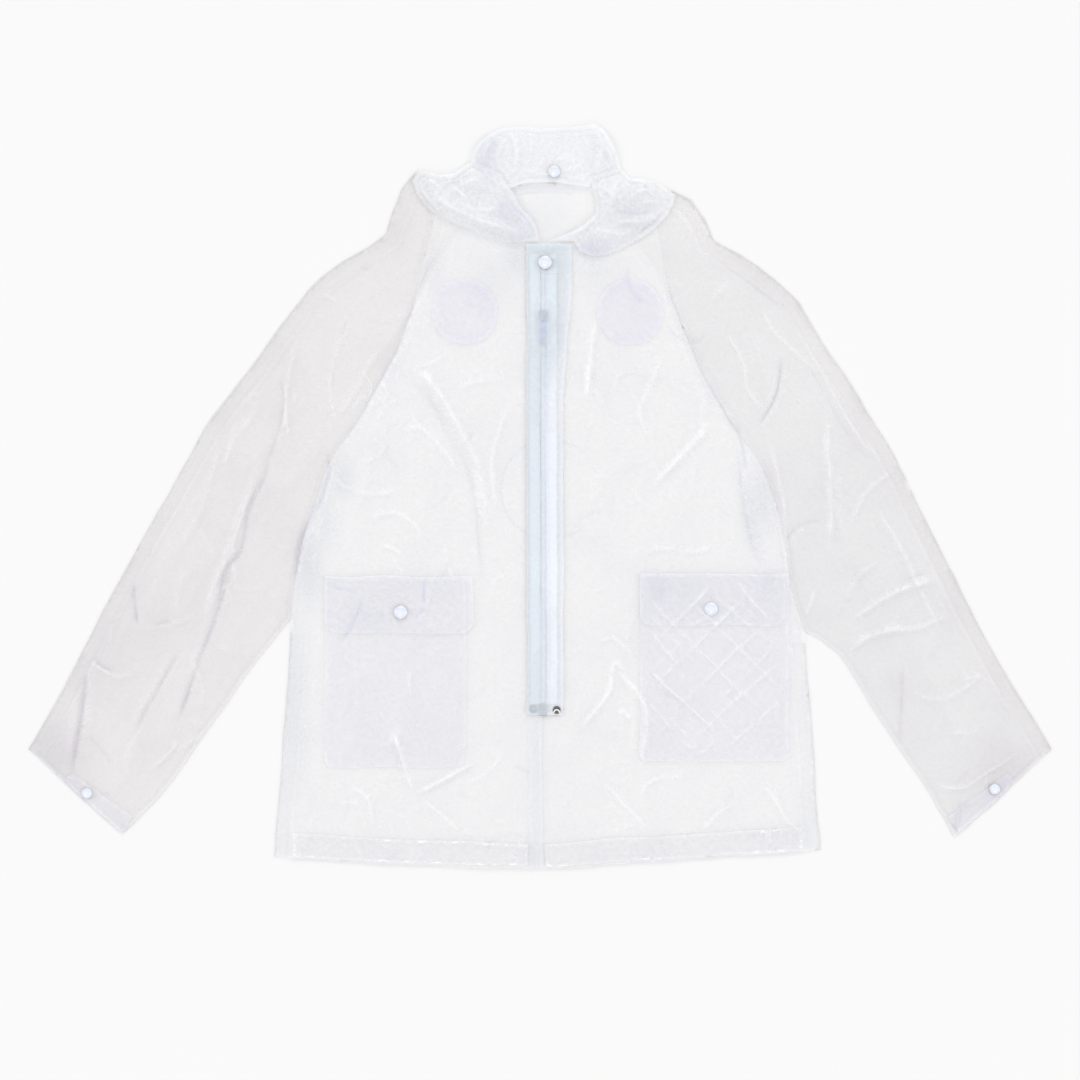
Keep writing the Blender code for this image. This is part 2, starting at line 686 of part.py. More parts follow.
def front(side):
    """One front and every piece that lies on it, all from the same plan points."""
    part = f"front_{side}"
    sign = SIGN[side]
    lines = curves(side)
    hem = [p for p in curve(HEM) if (p[0] - CENTRE) * sign > 1]
    hem = sorted([*hem, (CENTRE, hem_line(CENTRE))], key=lambda p: -p[0] * sign)
    fold_end = hem[1] if len(hem) > 2 else hem[-1]
    start = toward(lines.side[1], lines.side[0], GAP)
    reach = (FOLD_REACH + GAP) * -sign
    seam = beside([start, *lines.side[2:]], reach, last=fold_end)
    neckline = lines.neckline[::-1]
    centre = [(CENTRE, y) for y in evenly(hem_line(CENTRE), neckline[0][1], 60)][1:-1]
    hem = [p for p in hem[1:] if (p[0] - seam[-1][0]) * sign < -6]
    body = lines.raglan + lines.underarm[1:] + [start]
    ring = inset(ring_of(neckline, body[1:], seam, hem, centre), GAP / 2)
    pocket = next(p for p in POCKETS if p.side == side)
    patch = next(p for p in PATCHES if p.side == side)
    rings = front_rings(side, pocket, patch)
    folds = fold_guides(FOLDS, part, ring) + fold_guides([FLAP_FOLD], f"pocket_flap_{side}", ring)
    xs = sorted({x for x, _ in ring} | {x for x, _ in HEM})
    xs = [min(xs) - 5, *(x for x, after in zip(xs, xs[1:]) if after - x > 12), max(xs) + 5]
    lifts = [[(x, hem_line(x) + HEM_DEPTH + rise) for x in xs] for rise in (LIFT_START, LIFT_END)]
    guides = [r + r[:1] for r in rings.values()] + folds + lifts
    panel = Panel(ring, guides)
    height = upper_surface(part)
    add_film(part, panel, height)
    add_film(f"hem_front_{side}", panel, raised(height, LAYER), ring=rings["hem"])
    add_film(f"round_patch_{side}", panel, raised(height, LAYER), "lilac_film", rings["patch"])
    add_film(f"pocket_{side}", panel, raised(height, LAYER), "lilac_film", rings["bag"])
    flap = f"pocket_flap_{side}"
    creases = crests([FLAP_FOLD], flap)

    def flap_top(x, y):
        return height(x, y) + 2 * LAYER + fold_height(creases, flap, x, y)

    add_film(flap, panel, flap_top, "lilac_film", rings["flap"])
    if "lap" in rings:
        add_film("front_lap", panel, raised(height, LAYER), "blue_film", rings["lap"])
    return flap_top


def evenly(low, high, step):
    count = max(1, round(abs(high - low) / step))
    return [low + (high - low) * i / count for i in range(count + 1)]


def front_rings(side, pocket, patch):
    """Outlines of what lies on a front."""
    left, right = sorted((pocket.inner, pocket.outer))
    bag = rounded_box((left, pocket.bottom), (right, pocket.top), 9)
    left, right = sorted((pocket.flap_inner, pocket.flap_outer))
    flap = rounded_box((left, pocket.flap_bottom), (right, pocket.top), pocket.corner)
    if side == "right":
        hem = hem_ring(-296, CENTRE - LAP_WIDTH - 4)
    else:
        hem = hem_ring(CENTRE + 2, 314)
    rings = {"bag": bag, "flap": flap, "patch": circle(patch.x, patch.y, patch.radius, 26), "hem": hem}
    if side == "right":
        low, high = hem_line(CENTRE) + 2, FLAP_BOTTOM - 1
        rings["lap"] = rounded_box((CENTRE - LAP_WIDTH - 2, low), (CENTRE - 1, high), 2)
    return rings


# Zip, and the storm flap that covers it

FRONT_TOP = LAYER + WALL  # outer face of the fronts, which lie flat at the centre


def zip_parts():
    base = FRONT_TOP + GAP
    half = CHAIN_WIDTH / 2
    block("zip_chain", box_ring(CENTRE, ZIP_BOTTOM, ZIP_TOP, half), base, base + CHAIN_HEIGHT, "zip_plastic")
    for side, sign in (("right", -1), ("left", 1)):
        middle = CENTRE + sign * (half + GAP + TAPE_WIDTH / 2)
        ring = box_ring(middle, ZIP_BOTTOM - 1, ZIP_TOP, TAPE_WIDTH / 2)
        block(f"zip_tape_{side}", ring, base, base + WALL, "blue_film")
    top = ZIP_BOTTOM - 1 - GAP
    ring = rounded_box((CENTRE - BOX_WIDTH / 2, top - BOX_LENGTH), (CENTRE + BOX_WIDTH / 2, top), 1.5)
    block("zip_box", ring, base, base + BOX_HEIGHT, "zip_plastic")


def box_ring(middle, low, high, half):
    return [(middle - half, low), (middle + half, low), (middle + half, high), (middle - half, high)]


def slider():
    """The slider's plate with a bridge on it, and the pull tab whose eye goes round the bridge."""
    base = FRONT_TOP + GAP + CHAIN_HEIGHT + GAP
    low, high = SLIDER_AT - SLIDER_LENGTH / 2, SLIDER_AT + SLIDER_LENGTH / 2
    plate = [
        (CENTRE - 3.6, low), (CENTRE + 3.6, low), (CENTRE + SLIDER_WIDTH / 2, low + 7),
        (CENTRE + SLIDER_WIDTH / 2, high - 2), (CENTRE + 3.4, high), (CENTRE - 3.4, high),
        (CENTRE - SLIDER_WIDTH / 2, high - 2), (CENTRE - SLIDER_WIDTH / 2, low + 7),
    ]
    top = base + SLIDER_PLATE
    body = block("zip_slider", plate, base, top, "zip_plastic")
    side_view = (
        (SLIDER_AT - BRIDGE_LENGTH / 2, top - 0.5), (SLIDER_AT - BRIDGE_LENGTH / 2, top + BRIDGE_RISE),
        (SLIDER_AT + BRIDGE_LENGTH / 2, top + BRIDGE_RISE), (SLIDER_AT + BRIDGE_LENGTH / 2, top - 0.5),
        (SLIDER_AT + BRIDGE_LENGTH / 2 - BRIDGE_BAR, top - 0.5),
        (SLIDER_AT + BRIDGE_LENGTH / 2 - BRIDGE_BAR, top + BRIDGE_RISE - BRIDGE_BAR),
        (SLIDER_AT - BRIDGE_LENGTH / 2 + BRIDGE_BAR, top + BRIDGE_RISE - BRIDGE_BAR),
        (SLIDER_AT - BRIDGE_LENGTH / 2 + BRIDGE_BAR, top - 0.5),
    )
    bridge = across("zip_bridge", side_view, BRIDGE_WIDTH)
    union = body.modifiers.new("bridge", "BOOLEAN")
    union.operation = "UNION"
    union.object = bridge
    bridge.hide_render = True
    bridge.display_type = "WIRE"
    eye_low = SLIDER_AT - BRIDGE_LENGTH / 2 - PULL_BORDER - GAP - 0.2
    pull(top + GAP, eye_low)


def across(name, side_view, width):
    """A solid whose side view, as y and z, is drawn out across the garment."""
    count = len(side_view)
    vertices = [(CENTRE - width / 2, y, z) for y, z in side_view]
    vertices += [(CENTRE + width / 2, y, z) for y, z in side_view]
    faces = [tuple(range(count)), tuple(range(count, 2 * count))[::-1]]
    faces += [(i, i + count, (i + 1) % count + count, (i + 1) % count) for i in range(count)]
    return add(name, vertices, faces, "zip_plastic")


def pull(z, eye_low):
    """A flat tab that lies down the chain from its eye, which the bridge passes through."""
    half, eye = PULL_WIDTH / 2, PULL_EYE / 2
    eye_high = eye_low + PULL_BORDER + PULL_EYE
    top = eye_high + PULL_BORDER
    bottom = top - PULL_LENGTH
    outer = rounded_box((CENTRE - half, bottom), (CENTRE + half, top), 2.4, ("bottom", "top"))
    hole = box_ring(CENTRE, eye_low, eye_high, eye)
    panel = Panel(outer, [hole + hole[:1]], 40.0)
    panel.triangles = [f for f in panel.triangles if not inside(hole, *panel.middle(f))]
    add("zip_pull", *wall(panel, level(z), level(z + PULL_THICK)), "zip_plastic")


def storm_flap():
    """The flap over the zip with the neck tab on it. It rises over the chain and the slider."""
    rows = (FLAP_BOTTOM, -150, -40, 60, FLAP_TAPER[1], *BUMP_ROWS, FLAP_TAPER[0], 264, 290, FLAP_TOP)
    right = [(flap_right(y), y) for y in rows]
    left = [(FLAP_EDGE, y) for y in rows]
    ring = ring_of(left, right[::-1])
    ribs = [
        [(FLAP_EDGE + across_flap, y) for y in rows]
        for across_flap, _ in FLAP_SECTION[1:-1]
        if across_flap < FLAP_NARROW
    ]
    lines = [[(FLAP_EDGE, y), (flap_right(y), y)] for y in rows[1:-1]]
    tab = neck_tab()
    panel = Panel(ring, [*ribs, *lines, tab + tab[:1]], 200.0)
    add_film("storm_flap", panel, flap_height, "blue_film")
    add_film("neck_tab", panel, raised(flap_height, LAYER), "blue_film", tab)


def flap_right(y):
    rows = ((FLAP_TAPER[1], FLAP_NARROW), (FLAP_TAPER[0], FLAP_WIDE))
    return FLAP_EDGE + between(rows, y)


def flap_height(x, y):
    under = between(FLAP_SECTION, x - FLAP_EDGE) + FRONT_TOP
    over_slider = between(BUMP_ALONG, y) * between(BUMP_ACROSS, x - CENTRE)
    return under + WALL + over_slider


def neck_tab():
    """A short strap across the top of the flap with its free end round the stud."""
    stud = STUDS[0]
    half = TAB_WIDTH / 2
    arc = [math.radians(90 + 30 * i) for i in range(7)]
    ring = [(stud.x + half * math.cos(t), stud.y - 2 + half * math.sin(t)) for t in arc]
    end = FLAP_EDGE + FLAP_WIDE - 1
    return ring + [(end, stud.y - 2 - half), (end, stud.y - 2 + half)]


# Studs


def stud(place, z, finish="snap_plastic", profile=STUD_PROFILE):
    turned(place.name, place.x, place.y, z + GAP, place.radius, profile, finish)


def highest(surface, place):
    """The highest that a surface stands under a stud."""
    spots = [(place.x, place.y)]
    for share in (0.5, 1.0):
        spots += circle(place.x, place.y, place.radius * share, 12)
    return max(surface(x, y) for x, y in spots)


# Hood


def heap(name, outline):
    """A piece of the collapsed hood: layered at its edge, and domed and folded on top."""
    ring = ring_of(curve([*outline, outline[0]], HOOD_STEP))
    levels = [inset(ring, distance) for distance, _ in LAYERED_RIM]
    foot = Panel(levels[0], shoulder_guides(levels[0]), 400.0)
    top_ring = levels[-1]
    folds = fold_guides(HOOD_FOLDS, name, top_ring, HOOD_STEP)
    top = Panel(top_ring, folds, HOOD_PITCH)
    creases = crests(HOOD_FOLDS, name, HOOD_STEP)
    edge = top_ring + top_ring[:1]

    def height(x, y):
        rim_rise = LAYERED_RIM[-1][1]
        dome = HOOD_DOME[name] * smoothstep(nearest(edge, x, y)[0] / DOME_RUN)
        return support(x, y) + rim_rise + dome + fold_height(creases, name, x, y)

    vertices = [(x, y, support(x, y)) for x, y in foot.points]
    faces = [f[::-1] for f in foot.triangles]
    rings = [ordered(foot, levels[0])]
    for (_, rise), plan in zip(LAYERED_RIM[1:-1], levels[1:-1]):
        first = len(vertices)
        vertices += [(x, y, support(x, y) + rise) for x, y in plan]
        rings.append(list(range(first, len(vertices))))
    first = len(vertices)
    vertices += [(x, y, height(x, y)) for x, y in top.points]
    faces += [tuple(i + first for i in f) for f in top.triangles]
    rings.append([i + first for i in ordered(top, top_ring)])
    count = len(ring)
    for low, high in zip(rings, rings[1:]):
        for i in range(count):
            j = (i + 1) % count
            faces.append((low[i], low[j], high[j], high[i]))
    add(name, vertices, faces, "film")
    return height


def ordered(panel, ring):
    """The panel's point numbers of a ring's points, in the ring's order."""
    numbers = {key(p): i for i, p in enumerate(panel.points)}
    return [numbers[key(p)] for p in ring]


def shoulder_line():
    return LINES["right"].shoulder[3::-1] + NECK_BACK + LINES["left"].shoulder[:4]


def support(x, y):
    """What the hood lies on: the shoulders' layers, and past their edge the surface."""
    beyond = y - between(shoulder_line(), x)
    return HOOD_SUPPORT * min(max((RAMP_END - beyond) / (RAMP_END - RAMP_START), 0.0), 1.0)


def shoulder_guides(ring):
    """Where the support begins to come down and where it ends, inside a ring."""
    found = []
    edge = ring + ring[:1]
    bends = shoulder_line()
    stations = [bends[0][0]]
    for (a, _), (b, _) in zip(bends, bends[1:]):
        stations += evenly(a, b, HOOD_STEP)[1:]
    for rise in (RAMP_START, RAMP_END):
        line = [(x, between(bends, x) + rise) for x in stations]
        line = [p for p in line if inside(ring, *p) and nearest(edge, *p)[0] > 2.0]
        if len(line) > 1:
            found.append(line)
    return found


def main():
    for thing in list(bpy.data.objects):
        bpy.data.objects.remove(thing)
    back()
    tops = {"snap_neck": raised(flap_height, LAYER)}
    for side in SIGN:
        tops[f"snap_cuff_{side}"] = sleeve(side)
        tops[f"snap_pocket_{side}"] = front(side)
    zip_parts()
    slider()
    storm_flap()
    for name, outline in HOOD.items():
        tops["snap_hood_back"] = heap(name, outline)
    for place in STUDS:
        stud(place, highest(tops[place.name], place))
    right, left = RIVETS
    stud(right, FRONT_TOP, "bright_metal", RIVET_PROFILE)
    stud(left, highest(flap_height, left), "bright_metal", RIVET_PROFILE)


main()
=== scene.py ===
"""Looks of a clear film rain jacket that lies flat on its back, front up.

Lengths are millimetres in the frame's own axes until they become a mesh: +X is the wearer's left, +Y
points from hem to hood and +Z is up. Each film piece is a thin sheet on the outer face of its CAD
solid, with creases and crumple added to its height.
"""

import math
from collections import namedtuple

import bpy
import numpy as np
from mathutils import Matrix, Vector
from mathutils.bvhtree import BVHTree
from mathutils.geometry import delaunay_2d_cdt


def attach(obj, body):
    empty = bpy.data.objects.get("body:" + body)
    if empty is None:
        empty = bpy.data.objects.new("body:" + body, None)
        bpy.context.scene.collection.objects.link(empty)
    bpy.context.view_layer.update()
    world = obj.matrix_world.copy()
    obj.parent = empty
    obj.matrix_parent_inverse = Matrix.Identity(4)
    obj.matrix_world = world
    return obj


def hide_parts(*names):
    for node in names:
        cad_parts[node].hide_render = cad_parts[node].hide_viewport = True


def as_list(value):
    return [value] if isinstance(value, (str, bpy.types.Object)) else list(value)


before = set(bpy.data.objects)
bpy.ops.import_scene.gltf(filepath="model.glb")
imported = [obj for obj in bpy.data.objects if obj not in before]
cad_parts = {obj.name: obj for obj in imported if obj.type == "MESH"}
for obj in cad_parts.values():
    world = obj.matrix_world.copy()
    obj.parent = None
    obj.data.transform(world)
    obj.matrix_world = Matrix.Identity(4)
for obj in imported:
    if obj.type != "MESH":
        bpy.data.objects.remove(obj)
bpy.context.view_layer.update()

MM = 0.001
WALL = 1.0  # thickness of the CAD film walls
PITCH = 3.3  # spacing of points in a panel that shows
BACK_PITCH = 5.5
FINE_PITCH = 2.6
ROW_STEP, ROW_GAP = 2.6, 1.5  # points along a crest, and the rows beside it

# Creases of each layer: rise (below 0 for a trough), half width and the points of the crest
CREASES = {}
CREASES["top"] = (
    # Wearer's right sleeve, at the photo's left
    (-0.8, 5, (-314, 147), (-308, 115), (-314, 76), (-322, 50), (-329, 28)),
    (-1.3, 7, (-322, 57), (-329, 23), (-347, -14), (-359, -66), (-377, -90), (-386, -139)),
    (0.8, 9, (-334, 31), (-352, -10), (-371, -63), (-391, -107), (-401, -149)),
    (-1.3, 6, (-368, -76), (-386, -139), (-407, -194), (-426, -249), (-441, -285)),
    (-0.9, 5, (-488, -97), (-486, -125), (-482, -159)),
    (-0.8, 5, (-428, -179), (-444, -207), (-467, -249), (-486, -286), (-502, -309)),
    (0.5, 8, (-438, -179), (-454, -211), (-477, -253), (-494, -288)),
    (-1.3, 6, (-545, -196), (-547, -233), (-550, -270), (-556, -304), (-562, -341)),
    (0.5, 10, (-536, -191), (-537, -233), (-542, -281), (-550, -335)),
    (-0.7, 4, (-398, 57), (-440, -14), (-478, -80), (-510, -132), (-531, -166)),
    (0.6, 7, (-352, -132), (-366, -98), (-368, -62), (-356, -26)),
    (0.5, 9, (-420, -80), (-436, -122), (-430, -160)),
    (1.0, 4, (-546, -191), (-528, -207), (-506, -217), (-487, -212)),
    (0.7, 8, (-426, -262), (-408, -272), (-394, -279), (-425, -298), (-446, -308)),
    (0.9, 4, (-468, -329), (-452, -315), (-437, -299), (-444, -289)),
    (0.5, 7, (-504, -149), (-470, -159), (-434, -152), (-402, -133)),
    (0.4, 5, (-392, -121), (-379, -111), (-370, -121), (-372, -137)),
    (0.7, 6, (-288, 199), (-300, 151), (-305, 103), (-298, 55)),
    (-1.4, 5, (-258, 63), (-252, 31), (-262, -2), (-276, -33), (-288, -74), (-294, -117)),
    (0.6, 6, (-226, 211), (-245, 172), (-252, 124), (-242, 79)),
    (0.6, 6, (-192, 181), (-209, 148), (-226, 117), (-252, 91)),
    (0.7, 4, (-226, 97), (-214, 117), (-197, 110), (-187, 129)),
    (0.5, 7, (-384, 79), (-391, 31), (-413, -29), (-444, -77)),
    (0.5, 6, (-334, 121), (-348, 91), (-372, 55), (-379, 19)),
    # Wearer's left sleeve, at the photo's right
    (1.1, 7, (372, -153), (398, -132), (430, -114), (480, -98)),
    (1.0, 7, (364, -197), (392, -170), (424, -161), (456, -158), (496, -137)),
    (0.7, 4, (500, -226), (524, -218), (552, -228)),
    (-0.6, 5, (436, -200), (434, -236), (430, -302)),
    (0.6, 5, (202, 305), (252, 268), (302, 231)),
    (-0.5, 4, (196, 296), (246, 259), (296, 222)),
    (0.8, 5, (317, 185), (344, 134), (390, 61), (422, 41)),
    (-0.5, 4, (308, 182), (336, 130), (382, 56), (412, 36)),
    (1.0, 5, (331, -111), (326, -128), (319, -145)),
    (1.0, 7, (344, 97), (346, 43), (350, -5), (348, -77)),
    (-1.0, 5, (289, 175), (287, 133), (271, 97), (254, 76)),
    (-1.0, 5, (234, 91), (240, 70), (248, 25)),
    (1.0, 4, (468, -341), (486, -351), (510, -351), (534, -335), (564, -317), (576, -303)),
    (1.0, 6, (396, -5), (427, -53), (456, -113), (485, -173)),
    (0.8, 5, (432, 31), (408, 19), (386, -5), (372, -41)),
    (0.8, 6, (438, -233), (473, -245), (506, -233), (540, -207)),
    (0.7, 4, (408, -77), (386, -94), (367, -121)),
    (0.9, 6, (264, 235), (278, 199), (312, 167), (343, 139)),
    (0.8, 5, (222, 199), (242, 163), (250, 124), (274, 100)),
    (-0.7, 4, (486, -77), (502, -113), (523, -157)),
    # Seams between the sleeves and the fronts
    (0.3, 6, (-106, 302), (-130, 258), (-147, 219), (-163, 178), (-181, 140), (-206, 98), (-246, 34)),
    (0.3, 6, (140, 288), (144, 256), (158, 210), (178, 162), (200, 120), (232, 68), (254, 38)),
    (0.7, 3, (-214, 148), (-202, 132), (-206, 114)),
    (0.7, 3, (-196, 146), (-184, 126), (-190, 104)),
    (0.6, 3, (-182, 170), (-170, 156), (-172, 136)),
    (-0.9, 5, (-114, 306), (-138, 262), (-154, 223), (-170, 182), (-187, 144), (-211, 104), (-254, 36)),
    (-0.8, 5, (146, 290), (151, 258), (165, 213), (185, 166), (206, 124), (239, 71), (262, 38)),
    # Fronts
    (0.9, 9, (-172, 163), (-132, 139), (-108, 103), (-88, 63), (-72, 22), (-62, -60)),
    (-0.8, 6, (-170, 151), (-139, 124), (-109, 71), (-82, 16), (-72, -63), (-65, -125)),
    (0.9, 6, (-209, -29), (-180, -20), (-154, -32), (-139, -59)),
    (0.7, 4, (-190, -59), (-170, -68), (-170, -77)),
    (0.8, 5, (-174, 79), (-144, 81), (-120, 61), (-94, 21)),
    (0.9, 6, (-36, 115), (-53, 67), (-58, 31), (-50, -29)),
    (1.3, 7, (68, 215), (62, 175), (56, 110)),
    (1.2, 7, (209, 89), (182, 62), (156, 35), (131, 9)),
    (1.1, 7, (91, -209), (118, -236), (127, -269), (121, -334)),
    (0.9, 6, (91, -259), (103, -262), (109, -269)),
    (1.3, 6, (44, -283), (65, -260), (84, -233), (89, -202), (108, -214)),
    (0.8, 5, (67, -176), (86, -171), (103, -181), (113, -200)),
    (1.2, 6, (-174, -280), (-166, -317), (-150, -359)),
    (1.2, 6, (-150, -359), (-120, -344), (-74, -319)),
    (0.8, 5, (-144, -363), (-120, -382), (-95, -403)),
    (0.8, 6, (72, -341), (101, -370), (132, -404)),
    (0.8, 5, (264, -344), (281, -361), (295, -387), (312, -401)),
    (0.7, 5, (192, -404), (216, -380), (238, -365)),
    (0.7, 5, (115, -365), (138, -341), (180, -337)),
    (0.8, 6, (149, 175), (132, 134), (120, 103), (130, 67)),
    (0.7, 5, (120, -73), (149, -63), (185, -68), (216, -58)),
    (0.7, 5, (-228, -347), (-206, -365), (-202, -397)),
    (0.8, 5, (-252, 31), (-235, 11), (-202, 2), (-163, 7)),
    (-0.9, 5, (234, 67), (242, 7), (254, -53), (270, -95)),
    (1.0, 6, (268, 85), (292, -5), (298, -95), (318, -155)),
)
CREASES["pocket_right"] = (
    # Pocket at the photo's left, and its flap
    (-1.2, 5, (-138, -99), (-139, -116), (-138, -131)),
    (-0.8, 4, (-138, -131), (-144, -142), (-150, -149)),
    (0.6, 5, (-226, -173), (-218, -245), (-228, -308)),
)
CREASES["pocket_left"] = (
    # Lattice of creases across the pocket at the photo's right
    (1.35, 3.4, (125, -203), (170, -245), (214, -287)),
    (0.9, 3.4, (127, -245), (144, -265), (158, -283)),
    (1.05, 3.4, (232, -100), (254, -125), (278, -152)),
    (1.05, 3.4, (132, -161), (149, -183), (168, -203)),
    (0.9, 3.4, (146, -137), (192, -185), (242, -236), (276, -267)),
    (0.9, 3.4, (180, -125), (221, -166), (264, -209), (293, -238)),
    (0.9, 3.4, (132, -183), (163, -152), (192, -123), (211, -101)),
    (0.9, 3.4, (130, -233), (173, -193), (216, -152), (254, -116)),
    (0.9, 3.4, (144, -272), (192, -229), (240, -183), (286, -142)),
    (0.9, 3.4, (180, -296), (218, -260), (259, -224), (293, -195)),
    (0.9, 3.4, (223, -303), (254, -277), (290, -245)),
    (0.9, 3.4, (163, -289), (192, -308), (211, -291)),
    (0.75, 3.4, (128, -120), (170, -166), (212, -214)),
    (0.75, 3.4, (128, -140), (160, -172), (190, -204)),
    (0.6, 3.4, (206, -118), (246, -152), (292, -186)),
    (0.75, 3.4, (150, -262), (186, -300)),
    (0.75, 3.4, (196, -246), (226, -280), (250, -304)),
    (0.6, 3.4, (128, -214), (150, -196), (176, -168)),
    (0.75, 3.4, (212, -248), (250, -212), (284, -176)),
    (0.6, 3.4, (234, -302), (262, -276), (292, -252)),
    (0.6, 3.4, (134, -292), (152, -276), (172, -252)),
)
CREASES["hood_right"] = (
    # Hood over the wearer's right shoulder
    (1.1, 6, (-146, 382), (-146, 372), (-138, 358), (-126, 343), (-108, 331), (-82, 321), (-64, 312)),
    (0.8, 5, (-128, 372), (-122, 358), (-108, 346), (-88, 336), (-62, 326), (-40, 318), (-14, 312)),
    (0.9, 6, (-66, 388), (-48, 368), (-33, 350), (-18, 330), (-8, 316)),
    (-0.8, 4, (-82, 390), (-102, 378), (-120, 358), (-126, 347)),
    (0.7, 5, (-62, 384), (-86, 374), (-108, 362), (-118, 350)),
    (-0.6, 4, (-66, 366), (-76, 352), (-72, 340), (-48, 332), (-24, 326)),
    (0.7, 6, (-44, 350), (-62, 342), (-84, 344), (-100, 352)),
    (0.6, 4, (-112, 382), (-104, 370), (-84, 352)),
    (0.5, 3, (-134, 384), (-126, 372), (-114, 366)),
    (0.5, 3, (-96, 384), (-92, 366), (-96, 350)),
    (-0.5, 3, (-54, 356), (-70, 362), (-88, 358)),
    (0.5, 3, (-60, 338), (-46, 326), (-30, 316)),
)
CREASES["hood_left"] = (
    # Hood over the wearer's left shoulder
    (0.9, 6, (104, 382), (124, 376), (142, 366), (154, 356)),
    (0.9, 6, (70, 374), (74, 356), (70, 338), (58, 326), (40, 317), (16, 309)),
    (0.7, 5, (98, 384), (92, 366), (84, 348), (66, 330), (46, 318)),
    (-0.8, 4, (84, 344), (102, 338), (124, 337), (142, 340)),
    (0.7, 6, (82, 332), (104, 328), (128, 330), (146, 336)),
    (-0.6, 4, (112, 376), (106, 362), (98, 352), (88, 346)),
    (0.7, 4, (110, 358), (126, 366), (138, 362), (146, 354)),
    (-0.5, 4, (60, 308), (84, 302), (104, 306), (128, 318)),
    (0.5, 3, (76, 366), (90, 358), (104, 356)),
    (0.5, 3, (60, 322), (78, 316), (100, 314), (120, 324)),
    (-0.5, 3, (66, 346), (60, 334), (48, 326), (30, 319)),
    (0.5, 3, (120, 346), (132, 352), (146, 350)),
)
CREASES["hood_crown"] = (
    # Crown of the hood, and the seam at the back of the neck
    (0.8, 5, (-40, 441), (-31, 424), (-28, 406), (-30, 387)),
    (0.8, 5, (62, 443), (72, 430), (73, 410), (66, 390)),
    (0.9, 6, (-52, 434), (-64, 416), (-66, 396), (-52, 384)),
    (0.9, 6, (78, 434), (86, 414), (90, 396)),
    (0.4, 5, (-26, 392), (0, 386), (26, 388), (56, 400)),
    (-0.5, 4, (-30, 384), (0, 380), (30, 382), (58, 392)),
    (0.5, 4, (-40, 430), (-50, 412), (-48, 392)),
    (-0.5, 3, (-46, 436), (-36, 424), (-33, 408), (-35, 390)),
    (0.5, 3, (-70, 420), (-72, 404), (-64, 394)),
    (0.5, 3, (66, 424), (80, 416), (88, 402)),
    (-0.5, 3, (58, 440), (66, 424), (64, 404), (58, 388)),
    (0.4, 3, (-14, 436), (-10, 424), (-14, 412)),
    (0.4, 3, (14, 400), (30, 404), (46, 398)),
)
CREASES["flap"] = (
    # Small creases across the storm flap
    (0.4, 4, (-12, 150), (2, 128), (20, 118)),
    (0.35, 4, (-10, 20), (6, 34), (22, 30)),
    (0.4, 4, (-12, -92), (4, -110), (24, -116)),
    (0.35, 4, (-10, -190), (8, -176), (24, -180)),
)

# The faint ring pressed into the front, and a smaller one beside it: x, y, radius, rise, half width
RINGS = ((12, 7, 59, -0.7, 3.0), (110, 115, 30, -0.4, 2.5))

# Places where the film is painted deeper, or lighter where strength is below 0: x, y, reach in x and in y,
# and strength. Those deeper spots that follow the long trough by the wearer's right sleeve are painted
# shade.
TINTS = (
    (-585, -315, 75, 80, 0.55),
    (-520, -200, 70, 90, 0.25),
    (-470, -130, 90, 120, 0.12),
    (-238, 22, 24, 46, 0.5),
    (-256, -30, 22, 60, 0.45),
    (-276, -88, 26, 74, 0.7),
    (-296, -250, 34, 180, 0.4),
    (-240, 130, 70, 110, -0.3),
    (172, 345, 40, 40, -0.6),
    (-42, 342, 32, 28, 0.45),
    (-126, 270, 24, 60, 0.3),
    (262, -8, 36, 66, 0.6),
    (-60, 262, 50, 60, 0.3),
    (70, 270, 50, 50, 0.3),
    (560, -335, 90, 70, 0.4),
    (270, -105, 24, 30, 0.15),
    (140, -110, 26, 24, 0.25),
    (-64, 412, 28, 40, 0.55),
    (-62, 374, 28, 18, 0.45),
    (0, 330, 70, 60, 0.55),
    (-28, 284, 24, 36, 0.5),
    (-84, 208, 22, 16, -0.3),
    (60, 296, 34, 24, 0.5),
    (110, 340, 44, 26, 0.45),
    (290, 130, 110, 130, -0.45),
    (190, 250, 80, 70, -0.35),
    (-190, 230, 90, 70, -0.3),
    (180, 318, 60, 40, -0.6),
    (-12, -440, 14, 60, 0.3),
)

# Drawn half width of a crease, as a share of its half width: a ridge's painted highlight core and its
# painted sheen, and a trough's painted shade
CORE_LINE, SHEEN_LINE, TROUGH_LINE = 0.35, 1.4, 0.45
CORE_SHARE = 0.35  # of a ridge's painted highlight, the rest being its painted sheen
STRONGEST = 1.6  # of creases where they cross
TAPER = 0.22  # share of a crease's length over which each end runs out
UNEVEN_OVER = 17.0  # length over which a crease's rise changes
BEND_GAIN, SLOPE_GAIN = 2.5, 4.0
LIT_FROM = (0.75, 0.65)  # the way that slopes face which are painted lit, the slopes facing away being painted in shade: to the garment's right and up

# Crumple: wavelength and rise
CRUMPLE = ((95.0, 1.5), (48.0, 0.9), (25.0, 0.5), (14.0, 0.25))
SWAY = 0.35  # of its ridges, as a share of the wavelength

# Height field over the plan

CELL = 1.5
LOW_X, LOW_Y, HIGH_X, HIGH_Y = -650.0, -480.0, 650.0, 480.0
COLUMNS = int((HIGH_X - LOW_X) / CELL) + 1
ROWS = int((HIGH_Y - LOW_Y) / CELL) + 1
NOISE_SIDE = 256
GRID_X, GRID_Y = np.meshgrid(LOW_X + CELL * np.arange(COLUMNS), LOW_Y + CELL * np.arange(ROWS))
EDGE_BLEND = 9  # cells over which a sleeve's crumple runs into the body's


def smoothstep(t):
    t = np.clip(t, 0.0, 1.0)
    return t * t * (3 - 2 * t)


